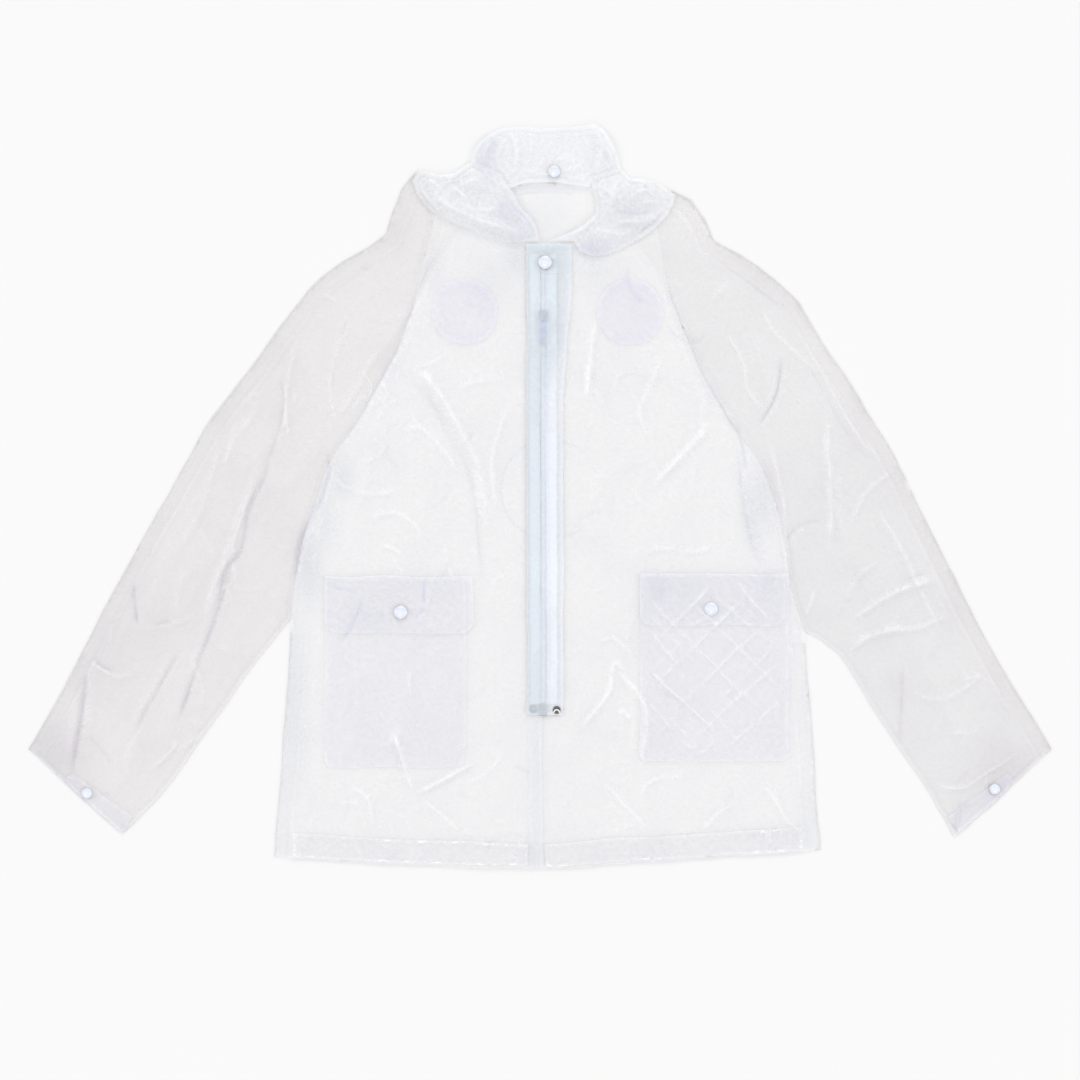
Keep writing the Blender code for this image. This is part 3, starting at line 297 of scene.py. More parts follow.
def noise(x, y, seed):
    """Smooth values from 0 to 1 that change over a distance of about 1."""
    table = np.random.default_rng(seed).random((NOISE_SIDE, NOISE_SIDE))
    column, row = np.floor(x).astype(int), np.floor(y).astype(int)
    u, v = smoothstep(x - column), smoothstep(y - row)
    left, right = column % NOISE_SIDE, (column + 1) % NOISE_SIDE
    low, high = row % NOISE_SIDE, (row + 1) % NOISE_SIDE
    below = table[low, left] * (1 - u) + table[low, right] * u
    above = table[high, left] * (1 - u) + table[high, right] * u
    return below * (1 - v) + above * v


def crumple(x, y, seed, turn=0.0, stretch=1.0):
    """Crumpled relief whose narrow ridges run mostly along one way."""
    c, s = math.cos(math.radians(turn)), math.sin(math.radians(turn))
    along, across = (x * c + y * s) / stretch, y * c - x * s
    height = 0.0
    for i, (wavelength, rise) in enumerate(CRUMPLE):
        sway = SWAY * noise(along / wavelength / 2, across / wavelength / 2, seed + 50 + i)
        ridge = 1 - np.abs(2 * noise(along / wavelength + sway, across / wavelength + sway, seed + i) - 1)
        height = height + rise * (ridge**2 - 0.3)
    return height


def smooth_line(points, step):
    """Points about step apart on a smooth curve through the given ones."""
    points = np.array(points, float)
    padded = np.vstack([points[:1], points, points[-1:]])
    found = [points[0]]
    for a, b, c, d in zip(padded, padded[1:], padded[2:], padded[3:]):
        pieces = max(1, round(float(np.linalg.norm(c - b)) / step))
        for t in np.arange(1, pieces + 1) / pieces:
            bend = (2 * a - 5 * b + 4 * c - d) * t**2 + (3 * b - a - 3 * c + d) * t**3
            found.append(0.5 * (2 * b + (c - a) * t + bend))
    return np.array(found)


def stroke(line, rise, half_width, xy):
    """(numbers of the points near a line, their distances to it, the line's strength beside them)."""
    low, high = line.min(axis=0) - half_width, line.max(axis=0) + half_width
    picked = np.flatnonzero(((xy > low) & (xy < high)).all(axis=1))
    near = xy[picked]
    away, along = np.full(len(near), np.inf), np.zeros(len(near))
    lengths = np.linalg.norm(np.diff(line, axis=0), axis=1)
    starts = np.concatenate([[0], np.cumsum(lengths)])
    for a, b, start, length in zip(line, line[1:], starts, lengths):
        step = b - a
        t = np.clip((near - a) @ step / max(step @ step, 1e-9), 0, 1)
        distance = np.linalg.norm(near - a - t[:, None] * step, axis=1)
        nearer = distance < away
        away[nearer] = distance[nearer]
        along[nearer] = start + t[nearer] * length
    share = along / starts[-1]
    ends = smoothstep(np.minimum(share, 1 - share) / TAPER)
    uneven = 0.6 + 0.8 * noise(along / UNEVEN_OVER, np.full(len(along), rise * 9 + half_width), 77)
    return picked, away, rise * ends * uneven


def cells_near(line, reach):
    """The rows and columns of the height field that lie within reach of a line."""
    low = (line.min(axis=0) - reach - (LOW_X, LOW_Y)) / CELL
    high = (line.max(axis=0) + reach - (LOW_X, LOW_Y)) / CELL + 1
    (x, y), (end_x, end_y) = np.maximum(low, 0).astype(int), np.maximum(high, 0).astype(int)
    return slice(y, end_y + 1), slice(x, end_x + 1)


class Field:
    """A value over the plan, kept in square cells and read between them."""

    def __init__(self, cells):
        self.cells = np.array(cells, float)

    def at(self, xy):
        u = np.clip((xy[:, 0] - LOW_X) / CELL, 0, COLUMNS - 1.001)
        v = np.clip((xy[:, 1] - LOW_Y) / CELL, 0, ROWS - 1.001)
        column, row = u.astype(int), v.astype(int)
        u, v = u - column, v - row
        cells = self.cells
        low = cells[row, column] * (1 - u) + cells[row, column + 1] * u
        high = cells[row + 1, column] * (1 - u) + cells[row + 1, column + 1] * u
        return low * (1 - v) + high * v

    def crests(self):
        """How sharply the relief bends: above 0 on ridges, below 0 in hollows."""
        padded = np.pad(self.cells, 2, mode="edge")
        around = padded[:-4, 2:-2] + padded[4:, 2:-2] + padded[2:-2, :-4] + padded[2:-2, 4:]
        return Field(np.clip((self.cells - around / 4) * BEND_GAIN, -1.0, 1.0))

    def slopes(self):
        """How far the relief faces up the garment and to its right: from -1 to 1."""
        rise_y, rise_x = np.gradient(blurred(self.cells, 1), CELL)
        return Field(np.clip((LIT_FROM[0] * rise_x - LIT_FROM[1] * rise_y) * SLOPE_GAIN, -1.0, 1.0))


def blurred(cells, half):
    """Cells averaged over a square of 2 half + 1 on a side."""
    for axis in (0, 1):
        pad = [(half + 1, half) if k == axis else (0, 0) for k in (0, 1)]
        sums = np.cumsum(np.pad(cells, pad, mode="edge"), axis=axis)
        ahead = np.take(sums, range(2 * half + 1, sums.shape[axis]), axis=axis)
        behind = np.take(sums, range(0, sums.shape[axis] - 2 * half - 1), axis=axis)
        cells = (ahead - behind) / (2 * half + 1)
    return cells


class Relief:
    """The height that a layer of film adds, and the creases drawn in it."""

    def __init__(self, cells, creases):
        self.creases = creases
        self.field = Field(cells)
        for line, rise, half_width in creases:
            window = cells_near(line, half_width)
            points = np.column_stack([GRID_X[window].ravel(), GRID_Y[window].ravel()])
            picked, away, strength = stroke(line, rise, half_width, points)
            added = np.zeros(len(points))
            share = np.clip(1 - (away / half_width) ** 2, 0, 1)
            added[picked] = strength * share**2
            self.field.cells[window] += added.reshape(GRID_X[window].shape)
        self.bend, self.slope = self.field.crests(), self.field.slopes()

    def at(self, xy):
        return self.field.at(xy)

    def marks(self, xy):
        """Attributes by which the film's shader paints highlights along crease crests, shade along troughs
        and glints, and draws tints.
        """
        ridge, trough = np.zeros(len(xy)), np.zeros(len(xy))
        for line, rise, half_width in self.creases:
            width = (SHEEN_LINE if rise > 0 else TROUGH_LINE) * half_width
            picked, distance, signed = stroke(line, rise, width, xy)
            near = np.clip(1 - distance / width, 0, 1)
            if rise > 0:
                core = np.clip(1 - distance / (CORE_LINE * half_width), 0, 1)
                near = CORE_SHARE * core + (1 - CORE_SHARE) * near**2
            drawn = ridge if rise > 0 else trough
            drawn[picked] = np.maximum(drawn[picked], np.abs(signed) * near)
        tint = np.zeros(len(xy))
        x, y = xy.T
        for spot_x, spot_y, reach_x, reach_y, strength in TINTS:
            away = np.hypot((x - spot_x) / reach_x, (y - spot_y) / reach_y)
            tint += strength * smoothstep(1 - away)
        return {
            "ridge": np.minimum(ridge, STRONGEST),
            "trough": np.minimum(trough, STRONGEST),
            "bend": self.bend.at(xy),
            "slope": self.slope.at(xy),
            "tint": tint,
            "haze": 0.25 + 0.25 * (noise((x + y) / 70, (y - x) / 70, 61) + noise(x / 29, y / 29, 62)),
            # where along the edges painted glints may show
            "glint_patches": 0.5 + 0.35 * (noise(x / 30, y / 30, 63) - 0.5),
        }

    def rows(self):
        """Points on each crest and on both sides of it."""
        found = []
        for line, rise, half_width in self.creases:
            way = np.gradient(line, axis=0)
            way /= np.maximum(np.linalg.norm(way, axis=1), 1e-9)[:, None]
            out = np.column_stack([-way[:, 1], way[:, 0]])
            found += [line, line + out * ROW_GAP, line - out * ROW_GAP]
        return np.vstack(found) if found else np.zeros((0, 2))


# Small creases between those listed: how many, their lengths, rises and half widths
SCATTERED, LENGTHS, RISES, HALF_WIDTHS = 230, (16.0, 70.0), (0.15, 0.55), (3.5, 6.5)
SCATTER_LOW, SCATTER_HIGH = (-600, -440), (600, 310)
TROUGH_SHARE = 0.3


def scattered(seed):
    """Short bent creases all over the plan, some of them troughs."""
    draw = np.random.default_rng(seed)
    found = []
    for _ in range(SCATTERED):
        middle = draw.uniform(SCATTER_LOW, SCATTER_HIGH)
        turn, bend = draw.uniform(0, math.pi), draw.normal(0, 0.7)
        length, rise, half_width = (draw.uniform(*span) for span in (LENGTHS, RISES, HALF_WIDTHS))
        steps = np.linspace(-0.5, 0.5, 5)
        turns = turn + bend * steps
        crest = middle + length * steps[:, None] * np.column_stack([np.cos(turns), np.sin(turns)])
        sign = -1 if draw.random() < TROUGH_SHARE else 1
        found.append((smooth_line(crest, ROW_STEP), sign * rise, half_width))
    return found


def creases_of(layer):
    """The creases listed for a layer, each as (line, rise, half width)."""
    found = [(smooth_line(crest, ROW_STEP), rise, half) for rise, half, *crest in CREASES[layer]]
    for x, y, radius, rise, half in RINGS if layer == "top" else ():
        turns = np.linspace(0, 2 * math.pi, round(2 * math.pi * radius / ROW_STEP))
        line = np.column_stack([x + radius * np.cos(turns), y + radius * np.sin(turns)])
        found.append((line, rise, half))
    return found


MIRROR_SHIFT = (9, -14)


def mirrored(creases, share):
    """Similar creases for a side that doesn't show."""
    return [(line * (-1, 1) + MIRROR_SHIFT, rise * share, half) for line, rise, half in creases]


def reliefs():
    """The relief of each layer."""
    x, y = GRID_X, GRID_Y
    body = 0.95 * crumple(x, y, 11, 80, 1.5)
    for node, turn in (("sleeve_front_right", 57), ("sleeve_front_left", -57)):
        ring = outlines(*picked_faces(node, facing_up))[0]
        share = inside(ring, np.column_stack([x.ravel(), y.ravel()])).reshape(x.shape).astype(float)
        share = smoothstep(blurred(blurred(share, EDGE_BLEND), EDGE_BLEND))
        body = body * (1 - share) + share * 0.9 * crumple(x, y, 23, turn, 1.9)
    body = np.maximum(body + 0.5, -0.1)
    top = creases_of("top") + scattered(91)
    hood = {
        node: Relief(blurred(rise * crumple(x, y, seed, turn, 1.6), 3) + 0.6, creases_of(node))
        for node, seed, turn, rise in (
            ("hood_right", 51, -25, 1.2),
            ("hood_left", 53, 25, 1.2),
            ("hood_crown", 55, 80, 1.1),
        )
    }
    under = np.clip(0.35 + 0.4 * crumple(x, y, 31, 85, 1.4), 0.0, 0.8)
    return {
        "top": Relief(body, top),
        "pocket_right": Relief(body, top + creases_of("pocket_right")),
        "pocket_left": Relief(body, top + creases_of("pocket_left")),
        "lap": Relief(0.4 * body, []),
        "flap": Relief(0.3 * crumple(x, y, 41, 85, 2.0) + 0.1, creases_of("flap")),
        "level": Relief(0.0 * x, []),
        "back": Relief(under, mirrored(top, 0.25)),
        **hood,
    }


# Plans: fine triangles over a region of a CAD solid


UPWARD = 0.2  # least upward part of an outer face's normal
RAY_TOP, RAY_MIDDLE = 500.0, 5.0  # height that rays start from, and a height within the garment
EDGE_CLEAR = 0.45  # of the pitch, kept free of points along an outline


def facing_up(normal, centre):
    return normal.z > UPWARD


def corners_of(thing):
    return np.array([v.co for v in thing.data.vertices]) / MM


def picked_faces(node, pick):
    """(vertices, faces) of the faces of a CAD node that pick(normal, centre) is true of."""
    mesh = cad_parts[node].data
    vertices = corners_of(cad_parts[node])
    faces = [tuple(f.vertices) for f in mesh.polygons if pick(f.normal, f.center / MM)]
    return welded(vertices, faces)


def welded(vertices, faces):
    """The same faces with vertices at one place made one."""
    keys, found, numbers = {}, [], []
    for v in vertices:
        key = tuple(round(float(c), 2) for c in v)
        if key not in keys:
            keys[key] = len(found)
            found.append(v)
        numbers.append(keys[key])
    merged = [tuple(numbers[i] for i in f) for f in faces]
    return np.array(found), [f for f in merged if len(set(f)) == len(f)]


def outlines(vertices, faces):
    """The closed boundaries of some faces, longest first, as points in plan."""
    edges = {(f[i], f[(i + 1) % len(f)]) for f in faces for i in range(len(f))}
    follow = {a: b for a, b in edges if (b, a) not in edges}
    rings = []
    while follow:
        start, at = next(iter(follow.items()))
        ring = [start]
        del follow[start]
        while at != start and at in follow:
            ring.append(at)
            at = follow.pop(at)
        rings.append(vertices[ring][:, :2])
    return sorted(rings, key=len, reverse=True)


def divided(ring, step):
    """A closed ring with each edge cut into equal lengths of about step."""
    found = []
    for a, b in zip(ring, np.roll(ring, -1, axis=0)):
        pieces = max(1, round(float(np.linalg.norm(b - a)) / step))
        found += [a + (b - a) * i / pieces for i in range(pieces)]
    return np.array(found)


def inside(ring, xy):
    found = np.zeros(len(xy), bool)
    low, high = ring.min(axis=0), ring.max(axis=0)
    picked = np.flatnonzero(((xy >= low) & (xy <= high)).all(axis=1))
    near = xy[picked]
    within = np.zeros(len(near), bool)
    for (ax, ay), (bx, by) in zip(ring, np.roll(ring, -1, axis=0)):
        crosses = (ay > near[:, 1]) != (by > near[:, 1])
        if crosses.any():
            at = ax + (near[crosses, 1] - ay) / (by - ay) * (bx - ax)
            within[crosses] ^= near[crosses, 0] < at
    found[picked] = within
    return found


def edge_distance(ring, xy):
    """Distance from each point to a closed ring."""
    best = np.full(len(xy), np.inf)
    for a, b in zip(ring, np.roll(ring, -1, axis=0)):
        d = b - a
        t = np.clip(((xy - a) @ d) / max(d @ d, 1e-9), 0, 1)
        best = np.minimum(best, np.linalg.norm(xy - a - t[:, None] * d, axis=1))
    return best


def triangulated(ring, pitch, rows=np.zeros((0, 2))):
    """(points, triangles) of a fine even plan inside a ring, with rows of points kept in it."""
    levels = np.arange(ring[:, 1].min(), ring[:, 1].max(), 0.87 * pitch)
    columns = np.arange(ring[:, 0].min(), ring[:, 0].max() + pitch, pitch)
    x = columns[None, :] + np.where(np.arange(len(levels)) % 2, 0.5 * pitch, 0.0)[:, None]
    grid = np.column_stack([x.ravel(), np.repeat(levels, len(columns))])
    grid = grid[inside(ring, grid)]
    rows = rows[inside(ring, rows)]
    if len(rows):
        taken = {(round(a / pitch), round(b / pitch)) for a, b in rows}
        clear = [(round(a / pitch), round(b / pitch)) not in taken for a, b in grid]
        grid = np.vstack([grid[np.array(clear)], rows])
    grid = grid[edge_distance(ring, grid) > EDGE_CLEAR * pitch]
    points = np.vstack([ring, grid])
    count = len(ring)
    edges = [(i, (i + 1) % count) for i in range(count)]
    out = delaunay_2d_cdt([Vector(p) for p in points], edges, [], 0, 0.05)
    points = np.array([tuple(p) for p in out[0]])
    triangles = np.array(out[2])
    middles = points[triangles].mean(axis=1)
    return points, triangles[inside(ring, middles)]


def ray_heights(vertices, faces, xy):
    """Height of a surface over each point, or of its nearest place just outside its edge."""
    tree = BVHTree.FromPolygons([Vector(v) for v in vertices], faces)
    down = Vector((0, 0, -1))
    found = np.empty(len(xy))
    for i, (x, y) in enumerate(xy):
        hit = tree.ray_cast(Vector((x, y, RAY_TOP)), down)[0]
        if hit is None:
            hit = tree.find_nearest(Vector((x, y, RAY_MIDDLE)))[0]
        found[i] = hit.z
    return found


def relaxed(values, triangles, rounds):
    """Values averaged with their neighbours, so that folds have round crests."""
    edges = np.vstack([triangles[:, [0, 1]], triangles[:, [1, 2]], triangles[:, [2, 0]]])
    edges = np.unique(np.sort(edges, axis=1), axis=0)
    a, b = edges.T
    count = np.bincount(a, minlength=len(values)) + np.bincount(b, minlength=len(values))
    for _ in range(rounds):
        total = np.bincount(a, values[b], len(values)) + np.bincount(b, values[a], len(values))
        values = 0.5 * values + 0.5 * total / np.maximum(count, 1)
    return values


# Meshes


WAVERS = ((46, 2.4), (17, 1.0))  # wavelength and width


def waver(xy):
    """The points shifted sideways a little, so that no cut edge or seam is quite straight."""
    x, y = xy[:, 0], xy[:, 1]
    shifts = []
    for seed in (301, 303):
        (size, width), (small_size, small_width) = WAVERS
        large = width * (noise(x / size, y / size, seed) - 0.5)
        shifts.append(large + small_width * (noise(x / small_size, y / small_size, seed + 1) - 0.5))
    return xy + np.column_stack(shifts)


def placed(name, data):
    thing = bpy.data.objects.new(name, data)
    bpy.context.scene.collection.objects.link(thing)
    return thing


def new_object(name, vertices, faces, material, attributes=None, smooth=True):
    """An object that rides on the frame, from vertices in millimetres."""
    mesh = bpy.data.meshes.new(name)
    mesh.from_pydata((np.asarray(vertices) * MM).tolist(), [], [tuple(map(int, f)) for f in faces])
    mesh.materials.append(material)
    for key, values in (attributes or {}).items():
        layer = mesh.attributes.new(key, "FLOAT", "POINT")
        layer.data.foreach_set("value", np.asarray(values, np.float32))
    mesh.polygons.foreach_set("use_smooth", np.full(len(mesh.polygons), smooth))
    mesh.update()
    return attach(placed(name, mesh), "root")


def cloth_area(vertices, triangles):
    corners = vertices[triangles]
    cross = np.cross(corners[:, 1] - corners[:, 0], corners[:, 2] - corners[:, 0])
    return float(np.linalg.norm(cross, axis=1).sum()) / 2


def smallest_rectangle(plan):
    """Width and length of the smallest rectangle, at any angle, round some points."""
    best = (np.inf, None)
    for turn in np.radians(np.arange(0, 90, 1.0)):
        c, s = math.cos(turn), math.sin(turn)
        sides = np.ptp(plan @ np.array([[c, -s], [s, c]]), axis=0)
        best = min(best, (sides[0] * sides[1], tuple(sides)))
    return best[1]


def new_sheet(name, vertices, faces, material, attributes, rests_on, slot, nodes, folded=0.0):
    """A piece of cloth from the given points, with the CAD nodes that it stands for hidden. What it is, its
    slot, is not used; the size it was cut to is worked out but not kept.
    """
    thing = new_object(name, vertices, faces, material, attributes)
    across, along = smallest_rectangle(vertices[:, :2])
    width, length = (across + folded) * MM, along * MM
    area = min(cloth_area(vertices, faces) * MM * MM, width * length)
    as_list(rests_on)
    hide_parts(*nodes)


# Materials

# the colour that the film turns to where it is painted lit: painted highlights, painted glints, and lighter
# haze and tints
WHITE = (0.97, 0.975, 0.98)


class Shader:
    """A material's nodes as they are made. Coordinates are the frame's own, in millimetres."""

    def __init__(self, name):
        self.material = bpy.data.materials.new(name)
        self.material.use_nodes = True
        self.tree = self.material.node_tree
        self.surface = self.tree.nodes["Principled BSDF"]
        places = self.node("ShaderNodeTexCoord").outputs["Object"]
        self.places = self.node("ShaderNodeMapping", Vector=places, Scale=(1 / MM,) * 3).outputs[0]

    def feed(self, socket, value):
        if isinstance(value, bpy.types.NodeSocket):
            self.tree.links.new(value, socket)
        else:
            socket.default_value = value

    def node(self, kind, **inputs):
        made = self.tree.nodes.new(kind)
        for key, value in inputs.items():
            self.feed(made.inputs[key.replace("_", " ")], value)
        return made

    def set(self, **inputs):
        for key, value in inputs.items():
            self.feed(self.surface.inputs[key.replace("_", " ")], value)

    def noise(self, size, detail, seed, stretch=(1, 1, 1)):
        """A noise from 0 to 1 whose features are about size across."""
        start = (seed * 97, seed * 53, 0)
        shift = self.node("ShaderNodeMapping", Vector=self.places, Location=start, Scale=stretch)
        made = self.node("ShaderNodeTexNoise", Vector=shift.outputs[0], Scale=1 / size, Detail=detail)
        made.noise_dimensions = "2D"
        return made.outputs["Fac"]

    def attribute(self, name):
        made = self.node("ShaderNodeAttribute")
        made.attribute_name = name
        return made.outputs["Fac"]

    def mapped(self, value, low, high, to_low=0.0, to_high=1.0):
        span = {"From_Min": low, "From_Max": high, "To_Min": to_low, "To_Max": to_high}
        made = self.node("ShaderNodeMapRange", Value=value, **span)
        made.interpolation_type = "SMOOTHSTEP"
        return made.outputs["Result"]

    def band(self, value, middle, half):
        """1 at the middle of a value's range, running out to 0 at half away from it."""
        away = self.math("ABSOLUTE", self.math("SUBTRACT", value, middle))
        return self.mapped(away, 0.0, half, 1.0, 0.0)

    def math(self, operation, *values):
        made = self.node("ShaderNodeMath")
        made.operation = operation
        for socket, value in zip(made.inputs, values):
            self.feed(socket, value)
        return made.outputs[0]

    def clipped(self, value, low, high):
        return self.math("MINIMUM", self.math("MAXIMUM", value, low), high)

    def total(self, *values):
        """The sum of values, each by itself or paired with its share, and maybe a number last."""
        found = None
        for value in values:
            part = self.math("MULTIPLY", *value) if isinstance(value, tuple) else value
            found = part if found is None else self.math("ADD", found, part)
        return found

    def blend(self, share, a, b):
        """A colour between two others."""
        made = self.node("ShaderNodeMix", Factor=share)
        made.data_type = "RGBA"
        for socket, value in zip(made.inputs[6:8], (a, b)):
            self.feed(socket, (*value, 1) if isinstance(value, tuple) else value)
        return made.outputs[2]

    def bump(self, height, distance, strength):
        made = self.node("ShaderNodeBump", Height=height, Strength=strength, Distance=distance * MM)
        return made.outputs["Normal"]

    def radius(self, x, y):
        """Distance in plan from a place."""
        flat, made = self.node("ShaderNodeVectorMath"), self.node("ShaderNodeVectorMath")
        flat.operation, made.operation = "MULTIPLY", "DISTANCE"
        for node, values in ((flat, (self.places, (1, 1, 0))), (made, (flat.outputs[0], (x, y, 0)))):
            for socket, value in zip(node.inputs, values):
                self.feed(socket, value)
        return made.outputs["Value"]


# Film: its colour, its deeper colour (for painted shade in troughs, hollows and slopes that face away, and
# for doubled edges, haze and tints), how solid it is, the same for edges, how strongly its relief is painted
# as highlight and shade, its roughness and its gloss
Look = namedtuple("Look", "colour deep alpha edge relief roughness gloss")
CLEAR, DEEP = (0.812, 0.807, 0.825), (0.58, 0.60, 0.67)
SLEEVE, SLEEVE_DEEP = (0.728, 0.705, 0.713), (0.47, 0.44, 0.49)
LEFT_SLEEVE = (0.726, 0.715, 0.74)
LOOKS = {
    "film": Look(CLEAR, DEEP, 0.21, 0.12, 1.4, 0.30, 0.5),
    "hem_film": Look(CLEAR, DEEP, 0.20, 0.12, 1.3, 0.28, 0.7),
    "back_film": Look(CLEAR, DEEP, 0.19, 0.08, 1.0, 0.35, 0.4),
    "sleeve_film": Look(SLEEVE, SLEEVE_DEEP, 0.22, 0.12, 1.3, 0.30, 0.5),
    "left_sleeve_film": Look(LEFT_SLEEVE, SLEEVE_DEEP, 0.22, 0.12, 1.3, 0.30, 0.5),
    "sleeve_back_film": Look(SLEEVE, SLEEVE_DEEP, 0.20, 0.08, 1.0, 0.35, 0.4),
    "hood_film": Look((0.80, 0.81, 0.835), (0.57, 0.60, 0.69), 0.25, 0.14, 0.9, 0.42, 0.3),
    "lilac_film": Look((0.76, 0.76, 0.82), (0.56, 0.56, 0.71), 0.18, 0.14, 1.1, 0.30, 0.5),
    "patch_film": Look((0.74, 0.72, 0.86), (0.57, 0.55, 0.76), 0.18, 0.14, 1.1, 0.30, 0.5),
    "tab_film": Look((0.70, 0.75, 0.80), (0.58, 0.64, 0.72), 0.16, 0.10, 0.6, 0.35, 0.4),
    "lap_film": Look((0.78, 0.79, 0.84), (0.60, 0.63, 0.72), 0.17, 0.10, 0.8, 0.32, 0.4),
    "flap_film": Look((0.605, 0.655, 0.70), (0.48, 0.56, 0.64), 0.50, 0.10, 0.6, 0.40, 0.3),
}
WELD = 6.0  # how far in from a cut edge its weld runs
DOUBLED, WELD_LINE = 0.12, 0.24  # how much deeper the film looks outside its weld, and along it
RIM, RIM_WIDTH = 0.05, 1.6
DENSER_LIT, DENSER_GRAIN = 0.40, 0.05  # how much more solid the painted highlights and lighter places, and the grain, make the film
THINNEST, DENSEST = 0.05, 0.92
GLINT_LINE = 2.0  # how far in from the edge the painted glints lie

# How strongly each mark makes the film lighter, or deeper: ridges, crests and slopes that face the light
# give painted highlight, troughs, hollows and slopes that face away give painted shade, haze is a random
# tone, and tints are spots painted deeper or lighter
LIT_RIDGE, LIT_BEND, LIT_SLOPE, LIT_HAZE, LIT_TINT = 0.17, 0.09, 0.12, 0.06, 0.25
SHADE_TROUGH, SHADE_BEND, SHADE_SLOPE, DEEP_HAZE, DEEP_TINT = 0.65, 0.14, 0.26, 0.20, 0.8
LEAST_TINT = -0.2


def film_material(name, look, bands=(), wash=None, glints=0.0):
    """Soft clear film, whose attributes say where it is painted lighter and deeper: painted highlights and
    shade along its creases and slopes, with haze and tints; its welds are denser.
    Each band is (attribute, middle, half width, share of the deep colour), a wash is (attribute, low,
    high, colour that it turns to), and glints are painted glints, white specks along the edges."""
    s = Shader(name)
    edge, painted_light_and_haze = s.attribute("edge_mm"), s.attribute("painted_light_and_haze")
    fine = s.noise(6, 1, 2)
    # painted shade, with the film's own deeper tone at doubled edges, rims and welds
    painted_shade_and_tone = s.total(
        s.attribute("painted_shade_and_tone"),
        (s.mapped(edge, WELD - 0.4, WELD + 0.4, 1.0, 0.0), DOUBLED),
        (s.mapped(edge, 0.0, RIM_WIDTH, 1.0, 0.0), RIM),
        (s.band(edge, WELD, 1.0), WELD_LINE),
    )
    if glints:
        # painted glints: ragged white specks along the edges
        ragged = s.mapped(s.noise(4.0, 2, 11, stretch=(0.4, 1.2, 1)), 0.5, 0.62)
        ragged = s.math("MULTIPLY", ragged, s.mapped(s.attribute("glint_patches"), 0.46, 0.56))
        painted_light_and_haze = s.total(painted_light_and_haze, (s.math("MULTIPLY", s.band(edge, GLINT_LINE, 2.2), ragged), glints))
    for attribute, middle, half, share in bands:
        painted_shade_and_tone = s.total(painted_shade_and_tone, (s.band(s.attribute(attribute), middle, half), share))
    colour = look.colour
    if wash:
        attribute, low, high, other = wash
        colour = s.blend(s.mapped(s.attribute(attribute), low, high), look.colour, other)
    # painted highlight: the film turns white where it is painted lit
    pale = s.blend(s.math("MINIMUM", painted_light_and_haze, 1.0), colour, WHITE)
    s.set(Base_Color=s.blend(s.clipped(painted_shade_and_tone, 0.0, 1.0), pale, look.deep))
    grain = s.mapped(fine, 0.3, 0.8)
    alpha = s.total((painted_light_and_haze, DENSER_LIT), (painted_shade_and_tone, look.edge), (grain, DENSER_GRAIN), look.alpha)
    s.set(Alpha=s.clipped(alpha, THINNEST, DENSEST))
    s.set(Normal=s.bump(fine, 1.2, 0.55), Roughness=look.roughness, IOR=1.55)
    s.set(Specular_IOR_Level=look.gloss)
    return s.material


def shaded(marks, relief):
    """A film's attributes: painted highlight on its crests and lit slopes, painted shade in its troughs,
    hollows and slopes that face away, and how far haze and tints make it lighter and deeper.
    """
    bend, slope, tint, haze = marks["bend"], marks["slope"], marks["tint"], marks["haze"]
    # painted highlight on crests and slopes that face the light; painted shade in troughs, hollows and
    # slopes that face away
    painted_light_and_haze = LIT_RIDGE * marks["ridge"] + LIT_BEND * np.maximum(bend, 0) + LIT_SLOPE * np.maximum(slope, 0)
    painted_shade_and_tone = SHADE_TROUGH * marks["trough"] - SHADE_BEND * np.minimum(bend, 0)
    painted_shade_and_tone -= SHADE_SLOPE * np.minimum(slope, 0)
    painted_light_and_haze = relief * painted_light_and_haze + LIT_HAZE * smoothstep((haze - 0.5) / 0.25) - LIT_TINT * np.minimum(tint, 0)
    painted_shade_and_tone = relief * painted_shade_and_tone + DEEP_HAZE * smoothstep((0.6 - haze) / 0.5)
    painted_shade_and_tone += DEEP_TINT * np.maximum(tint, LEAST_TINT)
    return {"edge_mm": marks["edge_mm"], "glint_patches": marks["glint_patches"], "painted_light_and_haze": painted_light_and_haze, "painted_shade_and_tone": painted_shade_and_tone}


GLOSS_SPREAD = (0.8, 1.3)  # shares of its roughness that a hard part's surface varies between


def plastic_material(name, colour, deep, roughness):
    s = Shader(name)
    s.set(Base_Color=s.blend(s.mapped(s.noise(3.5, 3, 5), 0.3, 0.7), colour, deep))
    s.set(Roughness=s.mapped(s.noise(0.9, 3, 6), 0.3, 0.7, *(roughness * v for v in GLOSS_SPREAD)))
    s.set(Normal=s.bump(s.noise(0.7, 3, 7), 0.15, 0.15))
    return s.material


def ringed_material(name, x, y, radius, colour, ring_colour, roughness):
    """A round part with a ring of another colour, used for painted shade in the groove of studs and
    rivet_right and for the painted highlight crescent on rivet_left.
    """
    s = Shader(name)
    # the painted ring: shade in a stud's groove, a white highlight crescent on rivet_left
    groove = s.band(s.radius(x, y), radius, 0.3 * radius)
    grain = s.noise(1.5, 3, 6)
    s.set(Base_Color=s.blend(s.total((groove, 0.85), (grain, 0.15)), colour, ring_colour))
    s.set(Roughness=s.mapped(grain, 0.3, 0.7, *(roughness * v for v in GLOSS_SPREAD)))
    return s.material


def tape_material():
    """Woven zip tape."""
    s = Shader("zip_tape_weave")
    weave = None
    for way, scale in (("Y", 1.1), ("X", 0.9)):
        threads = s.node("ShaderNodeTexWave", Vector=s.places, Scale=scale)
        threads.bands_direction = way
        weave = s.math("MULTIPLY", weave, threads.outputs["Fac"]) if weave else threads.outputs["Fac"]
    s.set(Base_Color=s.blend(weave, (0.70, 0.75, 0.81), (0.78, 0.82, 0.87)), Roughness=0.7)
    s.set(Normal=s.bump(weave, 0.25, 0.6))
    return s.material


# Pieces

